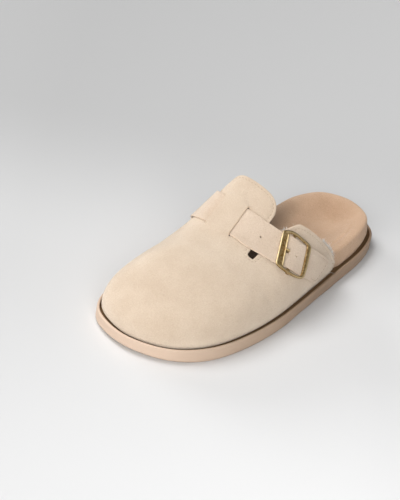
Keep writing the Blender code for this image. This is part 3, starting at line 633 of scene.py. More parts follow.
# Distances of the rings of mesh points from the free edge, the slits and the cut-out,
# the step along a slit's rings and the step of the upper's triangles.
EDGE_RINGS = (0.0002, 0.00045, 0.0008, 0.0015, 0.0019, 0.0023, 0.0028)
SLIT_RINGS = (0.0005, 0.0008, 0.0012, 0.0018, 0.0026, 0.0036, 0.0048)
VENT_RINGS = (0.0002, 0.0005, 0.0009)
RING_STEP = 0.0010
UPPER_STEP = 0.0016
# Reach of the pale raw cut from the edges of the upper and from the slits' lips.
RAW_REACH = 0.00055
RAW_LIP_REACH = 0.0008
RAW_INNER_REACH = 0.0004
# The upper's tuck into the gutter of the sole: its depth and how far up it reaches.
TUCK = 0.0016
TUCK_REACH = 0.0060

# Seam: distance from the edge, length and step of a stitch, radius of the thread and
# the share of it that stands proud, groove depth and half width, two soft swells.
STITCH_INSET = 0.0021
STITCH_LENGTH = 0.0021
STITCH_STEP = 0.0029
THREAD_RADIUS = 0.00022
THREAD_SEAT = 0.55
SEAM_DEPTH = 0.00022
SEAM_HALF = 0.0008
SWELLS = [
    # depth, distance, width
    (0.00014, STITCH_INSET + 0.0024, 0.0016),
    (0.00016, 0.0010, 0.0006),
]

# A stitch: place along it, thickness and sink as shares of its length and radius.
STITCH_SHAPE = [
    # place, thickness, sink
    (-0.50, 0.02, 1.60),
    (-0.42, 0.70, 0.90),
    (-0.22, 0.95, 0.15),
    (0.00, 1.00, 0.00),
    (0.22, 0.95, 0.15),
    (0.42, 0.70, 0.90),
    (0.50, 0.02, 1.60),
]
STITCH_SIDES = 6
STITCH_FLATNESS = 0.7

# Strap: rounding of its edges, lift of its free end and the length it lifts over, seam
# and groove round that end, and its spare pin holes.
STRAP_EDGE_RADIUS = 0.0004
STRAP_STEP = 0.0012
STRAP_RINGS = (0.0002, 0.0004, 0.0007)
HOLE_RINGS = (0.0002, 0.0005)
TAIL_LIFT = 0.0009
TAIL_RISE = 0.006
TAIL_SEAM = 0.0120
TAIL_GROOVE = 0.00032
TAIL_GROOVE_INSET = 0.0022
TAIL_LENGTH = 0.024
SPARE_HOLES = [
    # distance from the crossbar, diameter
    (-0.0263, 0.0013),
    (0.0031, 0.0013),
    (0.0110, 0.0012),
]

# Lining: its depth, its gap to the suede, its hollow for the strap, its triangles.
FLEECE_DEPTH = 0.0024
FLEECE_GAP = 0.0001
FLEECE_HOLLOW = 0.0015
FLEECE_STEP = 0.0022

# Pile: where it shows along the free edge, as shares of the half girth (rear and front
# of the lateral quarter, medial quarter), and how thick it stands there.
PILE_PLACES = [
    # from, rise, to, fall
    (1.14, 0.06, 1.43, 0.03),
    (0.64, 0.04, 0.79, 0.04),
    (0.72, 0.08, 1.30, 0.10),
]
REAR_PILE = 2.4
FRONT_PILE = 0.5
MEDIAL_PILE = 0.25
TONGUE_HALF = 0.42
# Hairs: count, shortest, spread of length, curl, thinnest, spread of radius, scatter.
EDGE_HAIR = (6400, 0.0012, 0.0020, 0.0010, 0.00012, 0.00010, 0.55)
INNER_HAIR = (3600, 0.0016, 0.0016, 0.0009, 0.00014, 0.00010, 0.80)
HAIR_SHAPE = [
    # place along, share of the radius
    (0.00, 1.00),
    (0.38, 0.85),
    (0.72, 0.55),
]

# Outsole: depth and pitch of the tread, width of a chevron, plain band at the edge,
# steps along it, across its bottom and across its floor, radius of the rim's crest as a
# share of the rim, drop of the floor's edge, wall of the side, painted shade in the gutter.
TREAD_DEPTH = 0.0012
TREAD_PITCH = 0.0085
CHEVRON = 0.012
TREAD_EDGE = 0.005
SOLE_STEPS = 260
BOTTOM_STEPS = 56
FLOOR_STEPS = 12
CREST_SHARE = 0.55
SEAT_DROP = 0.0002
SOLE_WALL = [
    # inset, share of the height, share of the spring
    (0.0, 0.36, 0.7),
    (0.0002, 0.48, 0.4),
    (0.0, 0.62, 0.2),
]
# Painted shade in the gutter: its share on the last three points of the rim's profile.
GUTTER_SHADE = (0.25, 0.8, 1.0)
# Tone of the foam along the shoe, painted light at the toe and painted shade towards
# the heel: where the toe's ends, where the heel's comes in.
FOAM_TOE = (-0.13, -0.02)
FOAM_HEEL = (-0.03, 0.04)
FOAM_SHARE = 0.6

# Buckle: steps along its lines, inset of the crossbar's legs, shares across the band of
# the frame, depths of the sunk panel, of the step and of the bevels, steps of the pin.
CASTING_STEPS = 44
CASTING_SOFTENING = 11
BAND = [0.0, 0.02, 0.06, 0.11, 0.15, 0.19, 0.23, 0.5, 0.77, 0.81, 0.85, 0.89, 0.94, 0.98, 1.0]
UNDERSIDE = [0.96, 0.5, 0.04]
PANEL_DEPTH = 0.00042
STEP_DEPTH = 0.00045
BEVEL_DEPTH = 0.00030
RAIL_ROUND = 0.0010
LEG_INSET = 0.055
CROSSBAR_STEPS = 25
PIN_STEPS = 48
PIN_SIDES = 20
PIN_SMOOTHING = 4

# Footbed: pressed fold in the heel (distance from the edge, half width, depth), painted
# shade under the instep (where it is full and where it ends, and how much further
# back it reaches on the medial side), lumps, bow and tuck of its wall.
BED_STEPS = 240
BED_ROWS = 72
LIP_SHARE = 0.75
FOLD_AT = 0.0085
FOLD_HALF = 0.0026
FOLD_DEPTH = 0.0013
FOLD_FROM = 0.040
FOLD_TO = 0.112
BED_PAINTED_SHADE = (0.026, 0.054)
MEDIAL_PAINTED_SHADE = 0.058
BED_LUMP = 0.00018
BED_BOW = 0.0004
BED_TUCK = 1.2 * TUCK

# Camera: turn, height and roll in degrees, target, distance, lens, aim beside the target.
CAMERA_ANGLES = (31.184, 31.975, 11.323)
CAMERA_TARGET = (0.0, 0.002, 0.030)
CAMERA_DISTANCE = 2.0
CAMERA_LENS = 250.06
CAMERA_ASIDE = 0.0376

# Floor: half size, squares, turn of its tone, the tone along the line of sight (place
# from 0 in front to 1 behind, grey value) and across it (from, to, darkest share); the
# darkening behind and to one side is painted shade.
FLOOR_SIZE = 8.0
FLOOR_SQUARES = 8
FLOOR_TURN = 0.544
FLOOR_REACH = 0.60
FLOOR_TONES = [(0.26, 0.90), (0.50, 0.81), (0.68, 0.64)]
FLOOR_ACROSS = (-0.17, 0.09, 0.84)

# Lights: name, direction, distance, size, power.
LIGHTS = [
    ("left_light", (-0.930, 0.110, 0.309), 3.0, 1.7, 38.0),
    ("front_light", (0.079, -0.903, 0.423), 3.0, 2.0, 42.0),
    ("right_light", (0.533, -0.635, 0.559), 3.0, 1.7, 38.0),
    ("high_light", (-0.369, -0.172, 0.914), 3.0, 1.7, 48.0),
    ("right_card", (0.682, 0.394, 0.616), 3.0, 1.8, 3.4),
]
AIR_LIGHT = 0.04

# Soft creases of the upper, in the pattern, as shares of the half girth: both
# ends of each trough, its half width and its depth in metres.
CREASES = [
    # across, along, across, along, half width, depth
    (0.52, 0.20, 0.86, 0.30, 0.070, 0.00035),
    (0.60, 0.02, 0.90, 0.08, 0.080, 0.00030),
    (-0.50, 0.05, -0.85, 0.16, 0.075, 0.00035),
    (-0.10, 0.16, 0.14, 0.14, 0.060, 0.00022),
    (0.30, -0.30, 0.62, -0.38, 0.110, 0.00025),
]


# Mesh helpers.
def noise3(p, size, seed):
    """Smooth value noise from -1 to 1: hashed lattice values blended over cells."""
    q = np.asarray(p) / size + 1000.0
    cell = np.floor(q).astype(np.int64)
    f = q - cell
    f = f * f * (3 - 2 * f)
    out = np.zeros(len(q))
    for i in range(8):
        corner = np.array([i & 1, (i >> 1) & 1, (i >> 2) & 1])
        k = cell + corner
        h = (k[:, 0] * 73856093) ^ (k[:, 1] * 19349663) ^ (k[:, 2] * 83492791) ^ (seed * 2654435)
        h = (h ^ (h >> 13)) * 1274126177 & 0x7FFFFFFF
        weight = np.prod(np.where(corner == 1, f, 1 - f), axis=1)
        out += weight * (h / 0x3FFFFFFF - 1.0)
    return out


def build_mesh(name, verts, faces, mat, edge=None, sharp=50.0):
    """Mesh object with one material; faces is one index array or a list of them."""
    groups = faces if isinstance(faces, list) else [faces]
    mesh = bpy.data.meshes.new(name)
    all_faces = [f for g in groups for f in g.tolist()]
    mesh.from_pydata(np.asarray(verts).tolist(), [], all_faces)
    if edge is not None:
        layer = mesh.attributes.new("edge", "FLOAT", "POINT")
        layer.data.foreach_set("value", np.asarray(edge, dtype=np.float32))
    mesh.materials.append(mat)
    mesh.shade_smooth()
    mesh.set_sharp_from_angle(angle=math.radians(sharp))
    piece = bpy.data.objects.new(name, mesh)
    bpy.context.scene.collection.objects.link(piece)
    return piece


def grid_faces(rows, columns, close_rows=False, close_columns=True):
    """Quads of a grid of points stored row by row."""
    i = np.arange(rows if close_rows else rows - 1)[:, None]
    j = np.arange(columns if close_columns else columns - 1)[None, :]
    i2 = (i + 1) % rows
    j2 = (j + 1) % columns
    quads = np.stack([i * columns + j, i * columns + j2, i2 * columns + j2, i2 * columns + j], -1)
    return quads.reshape(-1, 4)


def rim_edges(tri, count):
    """Directed edges of a flat triangulation that only one triangle uses."""
    e = np.vstack([tri[:, [0, 1]], tri[:, [1, 2]], tri[:, [2, 0]]]).astype(np.int64)
    code = e[:, 0] * count + e[:, 1]
    back = e[:, 1] * count + e[:, 0]
    return e[~np.isin(code, back)]


def shell(tri, outer, inner):
    """Closed sheet: outer face, turned inner face, and a wall between their rims."""
    n = len(outer)
    rim = rim_edges(tri, n)
    wall = np.stack([rim[:, 1], rim[:, 0], rim[:, 0] + n, rim[:, 1] + n], -1)
    return np.vstack([outer, inner]), [tri, tri[:, ::-1] + n, wall]


def weld(piece, reach=1e-6):
    """Merges the doubled points of a pole or a closing line."""
    bm = bmesh.new()
    bm.from_mesh(piece.data)
    bmesh.ops.remove_doubles(bm, verts=bm.verts, dist=reach)
    bmesh.ops.recalc_face_normals(bm, faces=bm.faces)
    bm.to_mesh(piece.data)
    bm.free()
    piece.data.shade_smooth()
    return piece


def far_from(q, line, closed=True):
    """Distance of each flat point from a polyline, in blocks of points."""
    p0 = line if closed else line[:-1]
    p1 = np.roll(line, -1, 0) if closed else line[1:]
    d = p1 - p0
    out = []
    for k in range(0, len(q), BLOCK):
        w = q[k:k + BLOCK, None] - p0
        t = np.clip((w * d).sum(-1) / np.maximum((d * d).sum(-1), TINY_SQUARE), 0, 1)
        out.append(np.sqrt(((w - t[..., None] * d) ** 2).sum(-1)).min(1))
    return np.concatenate(out)


def within(q, loop):
    """Which flat points lie in a closed line, in blocks of points."""
    return np.concatenate([inside(q[k:k + BLOCK], loop) for k in range(0, len(q), BLOCK)])


def offset_line(line, reach, closed=False):
    """Polyline moved sideways to its left by a distance in the pattern."""
    if closed:
        t = np.roll(line, -1, 0) - np.roll(line, 1, 0)
    else:
        t = np.gradient(line, axis=0)
    t /= np.hypot(t[:, 0], t[:, 1])[:, None]
    return line + np.c_[-t[:, 1], t[:, 0]] * reach


def rounding(depth, radius):
    """Drop of a surface near its rim: a quarter circle of the given radius."""
    t = np.clip(1 - depth / radius, 0, 1)
    return radius * (1 - np.sqrt(1 - t * t))


def fading(depth, reach):
    """Share that falls evenly from 1 at a rim to 0 at its reach."""
    return np.clip(1 - depth / reach, 0, 1)


def trough(p, row):
    """Soft crease: a cosine valley along a line that fades at both ends."""
    p0 = np.array(row[0:2]) * HALF_GIRTH
    d = np.array(row[2:4]) * HALF_GIRTH - p0
    half = row[4] * HALF_GIRTH
    t = ((p - p0) @ d) / (d @ d)
    side = np.abs((p - p0) @ np.array([-d[1], d[0]])) / np.hypot(*d)
    across = 0.5 + 0.5 * np.cos(math.pi * np.clip(side / half, 0, 1))
    along = ease(t / 0.3) * ease((1 - t) / 0.3)
    return -row[5] * across * along


# Materials.
def srgb(r, g, b):
    """Linear colour of a screen colour from 0 to 255."""
    c = np.array([r, g, b]) / 255.0
    return tuple(np.where(c <= 0.04045, c / 12.92, ((c + 0.055) / 1.055) ** 2.4)) + (1.0,)


class Surface:
    """A Principled material under construction, read in object coordinates."""

    def __init__(self, name, roughness, metallic=0.0, sheen=0.0, specular=0.5):
        self.mat = bpy.data.materials.new(name)
        self.mat.use_nodes = True
        self.tree = self.mat.node_tree
        self.shader = self.tree.nodes["Principled BSDF"]
        self.shader.inputs["Roughness"].default_value = roughness
        self.shader.inputs["Metallic"].default_value = metallic
        self.shader.inputs["Sheen Weight"].default_value = sheen
        self.shader.inputs["Specular IOR Level"].default_value = specular
        self.place = self.node("ShaderNodeTexCoord").outputs["Object"]

    def node(self, kind, **inputs):
        n = self.tree.nodes.new(kind)
        for key, value in inputs.items():
            n.inputs[key.replace("_", " ")].default_value = value
        return n

    def link(self, out, into):
        self.tree.links.new(out, into)

    def noise(self, size, detail=4.0, rough=0.6, stretch=(1, 1, 1)):
        """Noise with grains of about the given size in metres, from 0 to 1."""
        mapping = self.node("ShaderNodeMapping")
        mapping.inputs["Scale"].default_value = stretch
        self.link(self.place, mapping.inputs["Vector"])
        n = self.node("ShaderNodeTexNoise", Scale=1.0 / size, Detail=detail, Roughness=rough)
        self.link(mapping.outputs["Vector"], n.inputs["Vector"])
        return n.outputs["Fac"]

    def ramp(self, source, low, high, start=0.0, stop=1.0):
        """Value from start to stop as the source goes from low to high."""
        n = self.node("ShaderNodeMapRange")
        n.inputs["From Min"].default_value = low
        n.inputs["From Max"].default_value = high
        n.inputs["To Min"].default_value = start
        n.inputs["To Max"].default_value = stop
        self.link(source, n.inputs["Value"])
        return n.outputs["Result"]

    def attribute(self, name):
        """Value of the piece's own attribute."""
        n = self.node("ShaderNodeAttribute")
        n.attribute_name = name
        return n.outputs["Fac"]

    def mix(self, factor, first, second):
        """Colour between two colours or outputs."""
        n = self.tree.nodes.new("ShaderNodeMix")
        n.data_type = "RGBA"
        self.link(factor, n.inputs["Factor"])
        for socket, value in ((n.inputs[6], first), (n.inputs[7], second)):
            if isinstance(value, tuple):
                socket.default_value = value
            else:
                self.link(value, socket)
        return n.outputs[2]

    def colour(self, out):
        self.link(out, self.shader.inputs["Base Color"])

    def bump(self, height, depth, strength=1.0, under=None):
        """Normal of a relief of the given depth, over another one if there is one."""
        n = self.node("ShaderNodeBump", Strength=strength, Distance=depth)
        self.link(height, n.inputs["Height"])
        if under is not None:
            self.link(under, n.inputs["Normal"])
        return n.outputs["Normal"]

    def finish(self, normal):
        self.link(normal, self.shader.inputs["Normal"])
        return self.mat


def suede(name, light, dark, cut_edge_and_painted_shade, nap=0.0009, edge_share=0.6):
    """Napped leather: mottled colour, a fine nap, short fibres and a second tone by the edge
    attribute: a raw cut edge on upper and strap, painted shade on the footbed.
    """
    m = Surface(name, roughness=0.92, sheen=0.18, specular=0.18)
    m.shader.inputs["Sheen Roughness"].default_value = 0.45
    m.shader.inputs["Diffuse Roughness"].default_value = 1.0
    patch = m.ramp(m.noise(0.020, 3.0), 0.35, 0.65)
    grain = m.ramp(m.noise(nap, 3.0, 0.7), 0.30, 0.70)
    fibre = m.ramp(m.noise(nap * 0.45, 2.0, 0.6, (1.0, 0.45, 1.0)), 0.30, 0.70)
    base = m.mix(m.ramp(patch, 0, 1, 0.20, 0.0), light, dark)
    base = m.mix(m.ramp(grain, 0, 1, 0.34, 0.0), base, dark)
    base = m.mix(m.ramp(fibre, 0, 1, 0.16, 0.0), base, dark)
    # Second tone by the edge attribute: pale raw cut on upper and strap, dark painted shade on the
    # footbed.
    base = m.mix(m.ramp(m.attribute("edge"), 0.0, 1.0, 0.0, edge_share), base, cut_edge_and_painted_shade)
    m.colour(base)
    mottle = m.ramp(m.noise(nap * 2.4, 2.0, 0.6), 0.30, 0.70)
    low = m.bump(mottle, 0.00034, 0.6, m.bump(patch, 0.00030, 0.5))
    mid = m.bump(grain, 0.00022, 0.9, low)
    return m.finish(m.bump(fibre, 0.00010, 0.9, mid))


def foam(name, light, dark, hollow, toe, heel):
    """Moulded foam: matte, faintly mottled, with fine pores; painted light at the toe, painted
    shade towards the heel and in the gutter.
    """
    m = Surface(name, roughness=0.62, specular=0.35)
    patch = m.ramp(m.noise(0.030, 3.0), 0.35, 0.65)
    pores = m.ramp(m.noise(0.0006, 2.0), 0.35, 0.75)
    base = m.mix(m.ramp(patch, 0, 1, 0.22, 0.0), light, dark)
    base = m.mix(m.ramp(pores, 0, 1, 0.0, 0.14), base, dark)
    place = m.node("ShaderNodeSeparateXYZ")
    m.link(m.place, place.inputs["Vector"])
    # Painted light at the toe and painted shade towards the heel.
    base = m.mix(m.ramp(place.outputs["Y"], *FOAM_TOE, FOAM_SHARE, 0.0), base, toe)
    base = m.mix(m.ramp(place.outputs["Y"], *FOAM_HEEL, 0.0, FOAM_SHARE), base, heel)
    # Painted shade in the sole's gutter, from the piece's edge attribute.
    m.colour(m.mix(m.attribute("edge"), base, hollow))
    return m.finish(m.bump(pores, 0.00005, 0.7))


def brass(name, bright, patina):
    """Antique brass: rubbed bright on the raised edges, dark patina on the flats."""
    m = Surface(name, roughness=0.38, metallic=0.82)
    tone_mask = m.ramp(m.noise(0.0016, 4.0), 0.35, 0.70)
    base = m.mix(m.ramp(tone_mask, 0, 1, 0.0, 0.5), patina, bright)
    m.colour(m.mix(m.attribute("edge"), base, bright))
    return m.finish(m.bump(tone_mask, 0.00016, 0.9))


def wool(name, light, dark, deep):
    """Fleece: soft white fibres, a little warmer and darker in the hollows, and a dark painted
    shade deep inside the shoe.
    """
    m = Surface(name, roughness=1.0, sheen=0.35, specular=0.1)
    tuft = m.ramp(m.noise(0.0022, 3.0), 0.30, 0.70)
    m.colour(m.mix(m.attribute("edge"), m.mix(tuft, dark, light), deep))
    return m.finish(m.bump(tuft, 0.0005, 0.8))


def plain(name, colour, shade, roughness, grain=0.0004):
    """Thread and other small trim: two near tones in a fine grain."""
    m = Surface(name, roughness=roughness, specular=0.3)
    g = m.ramp(m.noise(grain, 2.0), 0.35, 0.65)
    m.colour(m.mix(g, shade, colour))
    return m.finish(m.bump(g, 0.00005, 0.5))


UPPER_SUEDE = suede("upper_suede", light=srgb(227, 212, 193), dark=srgb(186, 160, 133),
                    cut_edge_and_painted_shade=srgb(222, 196, 169))
STRAP_SUEDE = suede("strap_suede", light=srgb(228, 212, 194), dark=srgb(184, 158, 131),
                    cut_edge_and_painted_shade=srgb(234, 212, 188))
# On the footbed the second tone is a dark brown painted shade under the instep.
BED_SUEDE = suede("footbed_suede", light=srgb(221, 190, 161), dark=srgb(171, 133, 101),
                  cut_edge_and_painted_shade=srgb(46, 33, 23), nap=0.0008, edge_share=0.85)
# The hollow colour is painted shade in the gutter; the toe colour is painted light, the heel
# colour painted shade.
SOLE_FOAM = foam("sole_foam", light=srgb(198, 171, 146), dark=srgb(170, 142, 116),
                 hollow=srgb(132, 102, 70), toe=srgb(228, 204, 184), heel=srgb(158, 130, 106))
FRAME_BRASS = brass("frame_brass", bright=srgb(250, 226, 174), patina=srgb(148, 112, 56))
# Its deep colour is painted shade for the lining far inside the shoe.
FLEECE = wool("fleece", light=srgb(246, 243, 238), dark=srgb(222, 214, 204),
              deep=srgb(66, 53, 42))
THREAD = plain("thread", colour=srgb(205, 184, 160), shade=srgb(176, 152, 128), roughness=0.7)


# Outsole.
def half_outlines(count):
    """The outline in two halves from toe tip to heel tip, each in equal steps of arc."""
    toe = int(np.argmin(EDGE[:, 1]))
    line = np.roll(np.arange(len(EDGE)), -toe)
    heel = int(np.argmax(EDGE[line, 1]))
    halves = []
    for order in (line[:heel + 1], np.r_[line[heel:], line[0]][::-1]):
        d = np.r_[0, np.cumsum(np.hypot(*np.diff(EDGE[order], axis=0).T))]
        t = np.linspace(0, d[-1], count)
        k = np.interp(t, d, np.arange(len(order)))
        halves.append((order, k))
    return halves


def along_half(values, half):
    """Values given around the whole outline, read at the steps of one half of it."""
    order, k = half
    v = values[order]
    low = np.floor(k).astype(int)
    high = np.minimum(low + 1, len(order) - 1)
    f = (k - low).reshape((-1,) + (1,) * (v.ndim - 1))
    return v[low] * (1 - f) + v[high] * f


def spanning(lateral, medial, count):
    """Straight rows from the lateral to the medial points, count points in each."""
    t = np.linspace(0, 1, count)[:, None, None]
    return lateral[None] * (1 - t) + medial[None] * t


def tread(p, deep):
    """Groove depth under the sole: chevrons across it, faded out near its edge."""
    wave = np.abs((p[..., 0] / CHEVRON + 0.25) % 1.0 - 0.5) * CHEVRON
    phase = ((p[..., 1] + wave) / TREAD_PITCH) % 1.0
    groove = ease((0.26 - np.abs(phase - 0.5)) / 0.09)
    return TREAD_DEPTH * groove * ease((deep - TREAD_EDGE) / 0.002)


def sole_unit():
    """Ring of one section carried from toe to heel: bottom, wall, rim, floor, wall.

    Every point of the outline is moved in along its normal by the profile's inset; the
    bottom and the floor span straight between the two sides.
    """
    halves = half_outlines(SOLE_STEPS)
    low = underside(inset(TREAD_ROUND))
    turn = np.linspace(0, math.pi / 2, 6)[1:]
    profile = [(TREAD_ROUND * (1 - math.sin(t)), TREAD_ROUND * (1 - math.cos(t)), 1.0)
               for t in turn]
    profile += [(inward, share * SOLE_HEIGHT, spring) for inward, share, spring in SOLE_WALL]
    crest = RIM_WIDTH * CREST_SHARE
    turn = np.linspace(0, math.pi, 10)
    profile += [(crest * (1 - math.cos(t)), SOLE_HEIGHT - crest * (1 - math.sin(t)), 0.0)
                for t in turn]
    profile.append((2 * crest, SOLE_FLOOR - SEAT_DROP, 0.0))
    # Painted shade down the inner side of the rim into the gutter; the floor between the sides
    # gets it in full.
    tone_mask = np.zeros(len(profile))
    tone_mask[-len(GUTTER_SHADE):] = GUTTER_SHADE
    lateral, medial = [
        np.array([along_half(np.c_[inset(inward), height + spring * low], half)
                  for inward, height, spring in profile])
        for half in halves]
    base = [along_half(np.c_[inset(TREAD_ROUND), low], half) for half in halves]
    bottom = spanning(base[1], base[0], BOTTOM_STEPS)
    flat = bottom.reshape(-1, 3)
    deep = far_from(flat[:, :2], inset(TREAD_ROUND)[::2]).reshape(bottom.shape[:2])
    bottom[..., 2] = underside(flat[:, :2]).reshape(deep.shape) + tread(bottom, deep)
    floor = spanning(lateral[-1], medial[-1], FLOOR_STEPS)[1:-1]
    ring = np.concatenate([bottom, lateral, floor, medial[::-1]])
    shade = np.concatenate([np.zeros(len(bottom)), tone_mask, np.ones(len(floor)), tone_mask[::-1]])
    return ring_piece("sole_unit", ring, SOLE_FOAM, np.repeat(shade, ring.shape[1]))


def ring_piece(name, ring, mat, edge):
    """Welded mesh of sections side by side, each one closed round the piece."""
    faces = grid_faces(ring.shape[0], ring.shape[1], close_rows=True, close_columns=False)
    return weld(build_mesh(name, ring.reshape(-1, 3), faces, mat, edge))


# Footbed.
def footbed_cover():
    """Cupped bed: straight wall, quarter-round lip, then the height formula of the part.

    Height over the bed = edge + (middle - edge) * ease(distance from the edge / slope),
    both heights from the table along the length, plus soft lumps and a pressed fold.
    """
    halves = half_outlines(BED_STEPS)
    share = share_of_length(EDGE[:, 1])
    bare = ease((share - BARE_FROM) / (BARE_TO - BARE_FROM))
    covered = FEATHER_INSET + WALL + FOOTBED_SIDE_GAP
    side = covered + (FEATHER_INSET - covered) * bare
    rim_share = column(FOOTBED, 0)
    rim = cubic(share, rim_share, column(FOOTBED, 1)) * CUP_HEIGHT
    lean = FOOTBED_LEAN * bare
    floor = SOLE_FLOOR + SEAT_GAP
    radius = LIP_SHARE * LIP_DROP
    profile = []
    for t in np.linspace(0, 1, 10):
        bow = BED_BOW * math.sin(math.pi * t) - BED_TUCK * max(1 - t / 0.5, 0) ** 2
        profile.append((side + lean * t - bow, floor + (rim - radius - floor) * t))
    for t in np.linspace(0, math.pi / 2, 7)[1:]:
        profile.append((side + lean + radius * (1 - math.cos(t)),
                        rim - radius * (1 - math.sin(t))))
    lateral, medial = [np.array([along_half(np.c_[inset(d), z], half) for d, z in profile])
                       for half in halves]
    top = spanning(lateral[-1], medial[-1], BED_ROWS)[1:-1]
    flat = top.reshape(-1, 3)
    deep = far_from(flat[:, :2], inset(side + lean)[::2])
    t = share_of_length(flat[:, 1])
    edge_z = cubic(t, rim_share, column(FOOTBED, 1)) * CUP_HEIGHT
    mid_z = cubic(t, rim_share, column(FOOTBED, 2)) * CUP_HEIGHT
    flat[:, 2] = edge_z + (mid_z - edge_z) * ease((deep - FOOTBED_LIP) / CUP_SLOPE)
    flat[:, 2] += BED_LUMP * noise3(flat, 0.016, 3) * ease(deep / 0.01)
    fold = 0.5 + 0.5 * np.cos(math.pi * np.clip((deep - FOLD_AT) / FOLD_HALF, -1, 1))
    reach = ease((flat[:, 1] - FOLD_FROM) / 0.012) * ease((FOLD_TO - flat[:, 1]) / 0.025)
    flat[:, 2] -= FOLD_DEPTH * fold * reach * ease(flat[:, 0] / 0.01)
    top = flat.reshape(top.shape)
    under = spanning(medial[0], lateral[0], 4)[1:-1]
    ring = np.concatenate([lateral, top, medial[::-1], under])
    # Painted shade: dark under the instep, reaching further back on the medial side.
    x, y = ring[..., 0].reshape(-1), ring[..., 1].reshape(-1)
    stop = BED_PAINTED_SHADE[1] + MEDIAL_PAINTED_SHADE * ease((-x - 0.005) / 0.020)
    tone_mask = ease((stop - y) / (stop - BED_PAINTED_SHADE[0]))
    return ring_piece("footbed_cover", ring, BED_SUEDE, tone_mask)


# Upper.
def fine_triangles(loops, step, extra):
    """Flat triangles inside the first loop and outside the others.

    Rows of an even grid, with extra points kept close to the rims, joined by a
    constrained Delaunay triangulation.
    """
    low, high = loops[0].min(0), loops[0].max(0)
    rows = int((high[1] - low[1]) / (step * ROW_RISE)) + 1
    x = np.arange(low[0], high[0] + step, step)
    grid_x = x[None, :] + (np.arange(rows)[:, None] % 2) * step / 2
    grid_y = low[1] + np.arange(rows)[:, None] * step * ROW_RISE + 0 * grid_x
    grid = np.c_[grid_x.reshape(-1), grid_y.reshape(-1)]
    far = np.concatenate([
        np.sqrt(((grid[k:k + BLOCK, None] - extra) ** 2).sum(-1)).min(1)
        for k in range(0, len(grid), BLOCK)])
    grid = np.vstack([extra, grid[far > EXTRA_REACH * step]])
    gap = np.full(len(grid), RIM_REACH * step)
    gap[:len(extra)] = EXTRA_CLEAR
    keep = within(grid, loops[0])
    for loop in loops[1:]:
        keep &= ~within(grid, loop)
    for loop in loops:
        keep &= far_from(grid, loop) > gap
    pts = np.vstack(loops + [grid[keep]])
    edges = []
    start = 0
    for loop in loops:
        n = len(loop)
        edges += [(start + i, start + (i + 1) % n) for i in range(n)]
        start += n
    res = delaunay_2d_cdt([Vector(p) for p in pts * MILLI], edges, [], 0, SNAP)
    flat = np.array([tuple(v) for v in res[0]]) / MILLI
    tri = np.array([f for f in res[2] if len(f) == 3])
    mid = flat[tri].mean(1)
    ok = within(mid, loops[0])
    for loop in loops[1:]:
        ok &= ~within(mid, loop)
    tri = tri[ok]
    a, b, c = flat[tri[:, 0]], flat[tri[:, 1]], flat[tri[:, 2]]
    area = np.cross(b - a, c - a)
    tri[area < 0] = tri[area < 0][:, ::-1]
    return flat, tri[np.abs(area) > TINY_AREA]


FREE_LINE = resample(rounded([(a * HALF_GIRTH, b * HALF_GIRTH, r * HALF_GIRTH)
                              for a, b, r in FREE_EDGE]), LINE_STEP)


def pattern_outline(free):
    """Closed outline of the upper's pattern: the free edge, then round the toe."""
    h = HALF_GIRTH
    t = np.linspace(-math.pi / 2, math.pi / 2, 181)
    toe = np.c_[h * np.sin(t), -h * np.cos(t)]
    left = np.c_[np.full(70, -h), np.linspace(free[-1, 1], 0, 71)[1:]]
    right = np.c_[np.full(70, h), np.linspace(0, free[0, 1], 71)[:-1]]
    return np.vstack([free, left, toe[1:-1], right])


def vent_loop(clear, count=36):
    """Outline of the round cut-out in the upper's pattern, with a clearance."""
    a, b = along_strap(VENT_AT, 0.0)
    return oval((float(a), float(b)), clear * VENT_SQUEEZE, clear, count)


def fine_slit(row):
    """Closed outline of a slit, pointed at both ends."""
    at, front, rear = [HALF_GIRTH * v for v in row]
    t = np.linspace(0, 1, 33)
    half = SLIT_WIDTH / 2 * ease(np.minimum(t, 1 - t) / SLIT_POINT)
    y = front + SLIT_TRIM + (rear - front - 2 * SLIT_TRIM) * t
    return np.vstack([np.c_[at + half, y], np.c_[at - half, y][-2:0:-1]])


def upper_height(a, b):
    """Lift of the suede's outer face: the part's own field, soft creases and waves."""
    lift, wall = slit_fields(a, b)
    flat = np.c_[a, b]
    calm = ease((np.abs(a / HALF_GIRTH) - 0.05) / 0.3)
    for row in CREASES:
        lift = lift + trough(flat, row)
    rim = ease((1 - np.hypot(a, np.minimum(b, 0)) / HALF_GIRTH) / 0.12)
    p = np.c_[a, b, 0 * a]
    lift = lift + 0.00016 * noise3(p, 0.022, 5) * rim * (0.5 + 0.5 * calm)
    low = (1 - np.hypot(a, np.minimum(b, 0)) / HALF_GIRTH) * HALF_GIRTH
    return lift - TUCK * np.clip(1 - low / TUCK_REACH, 0, 1) ** 2, wall


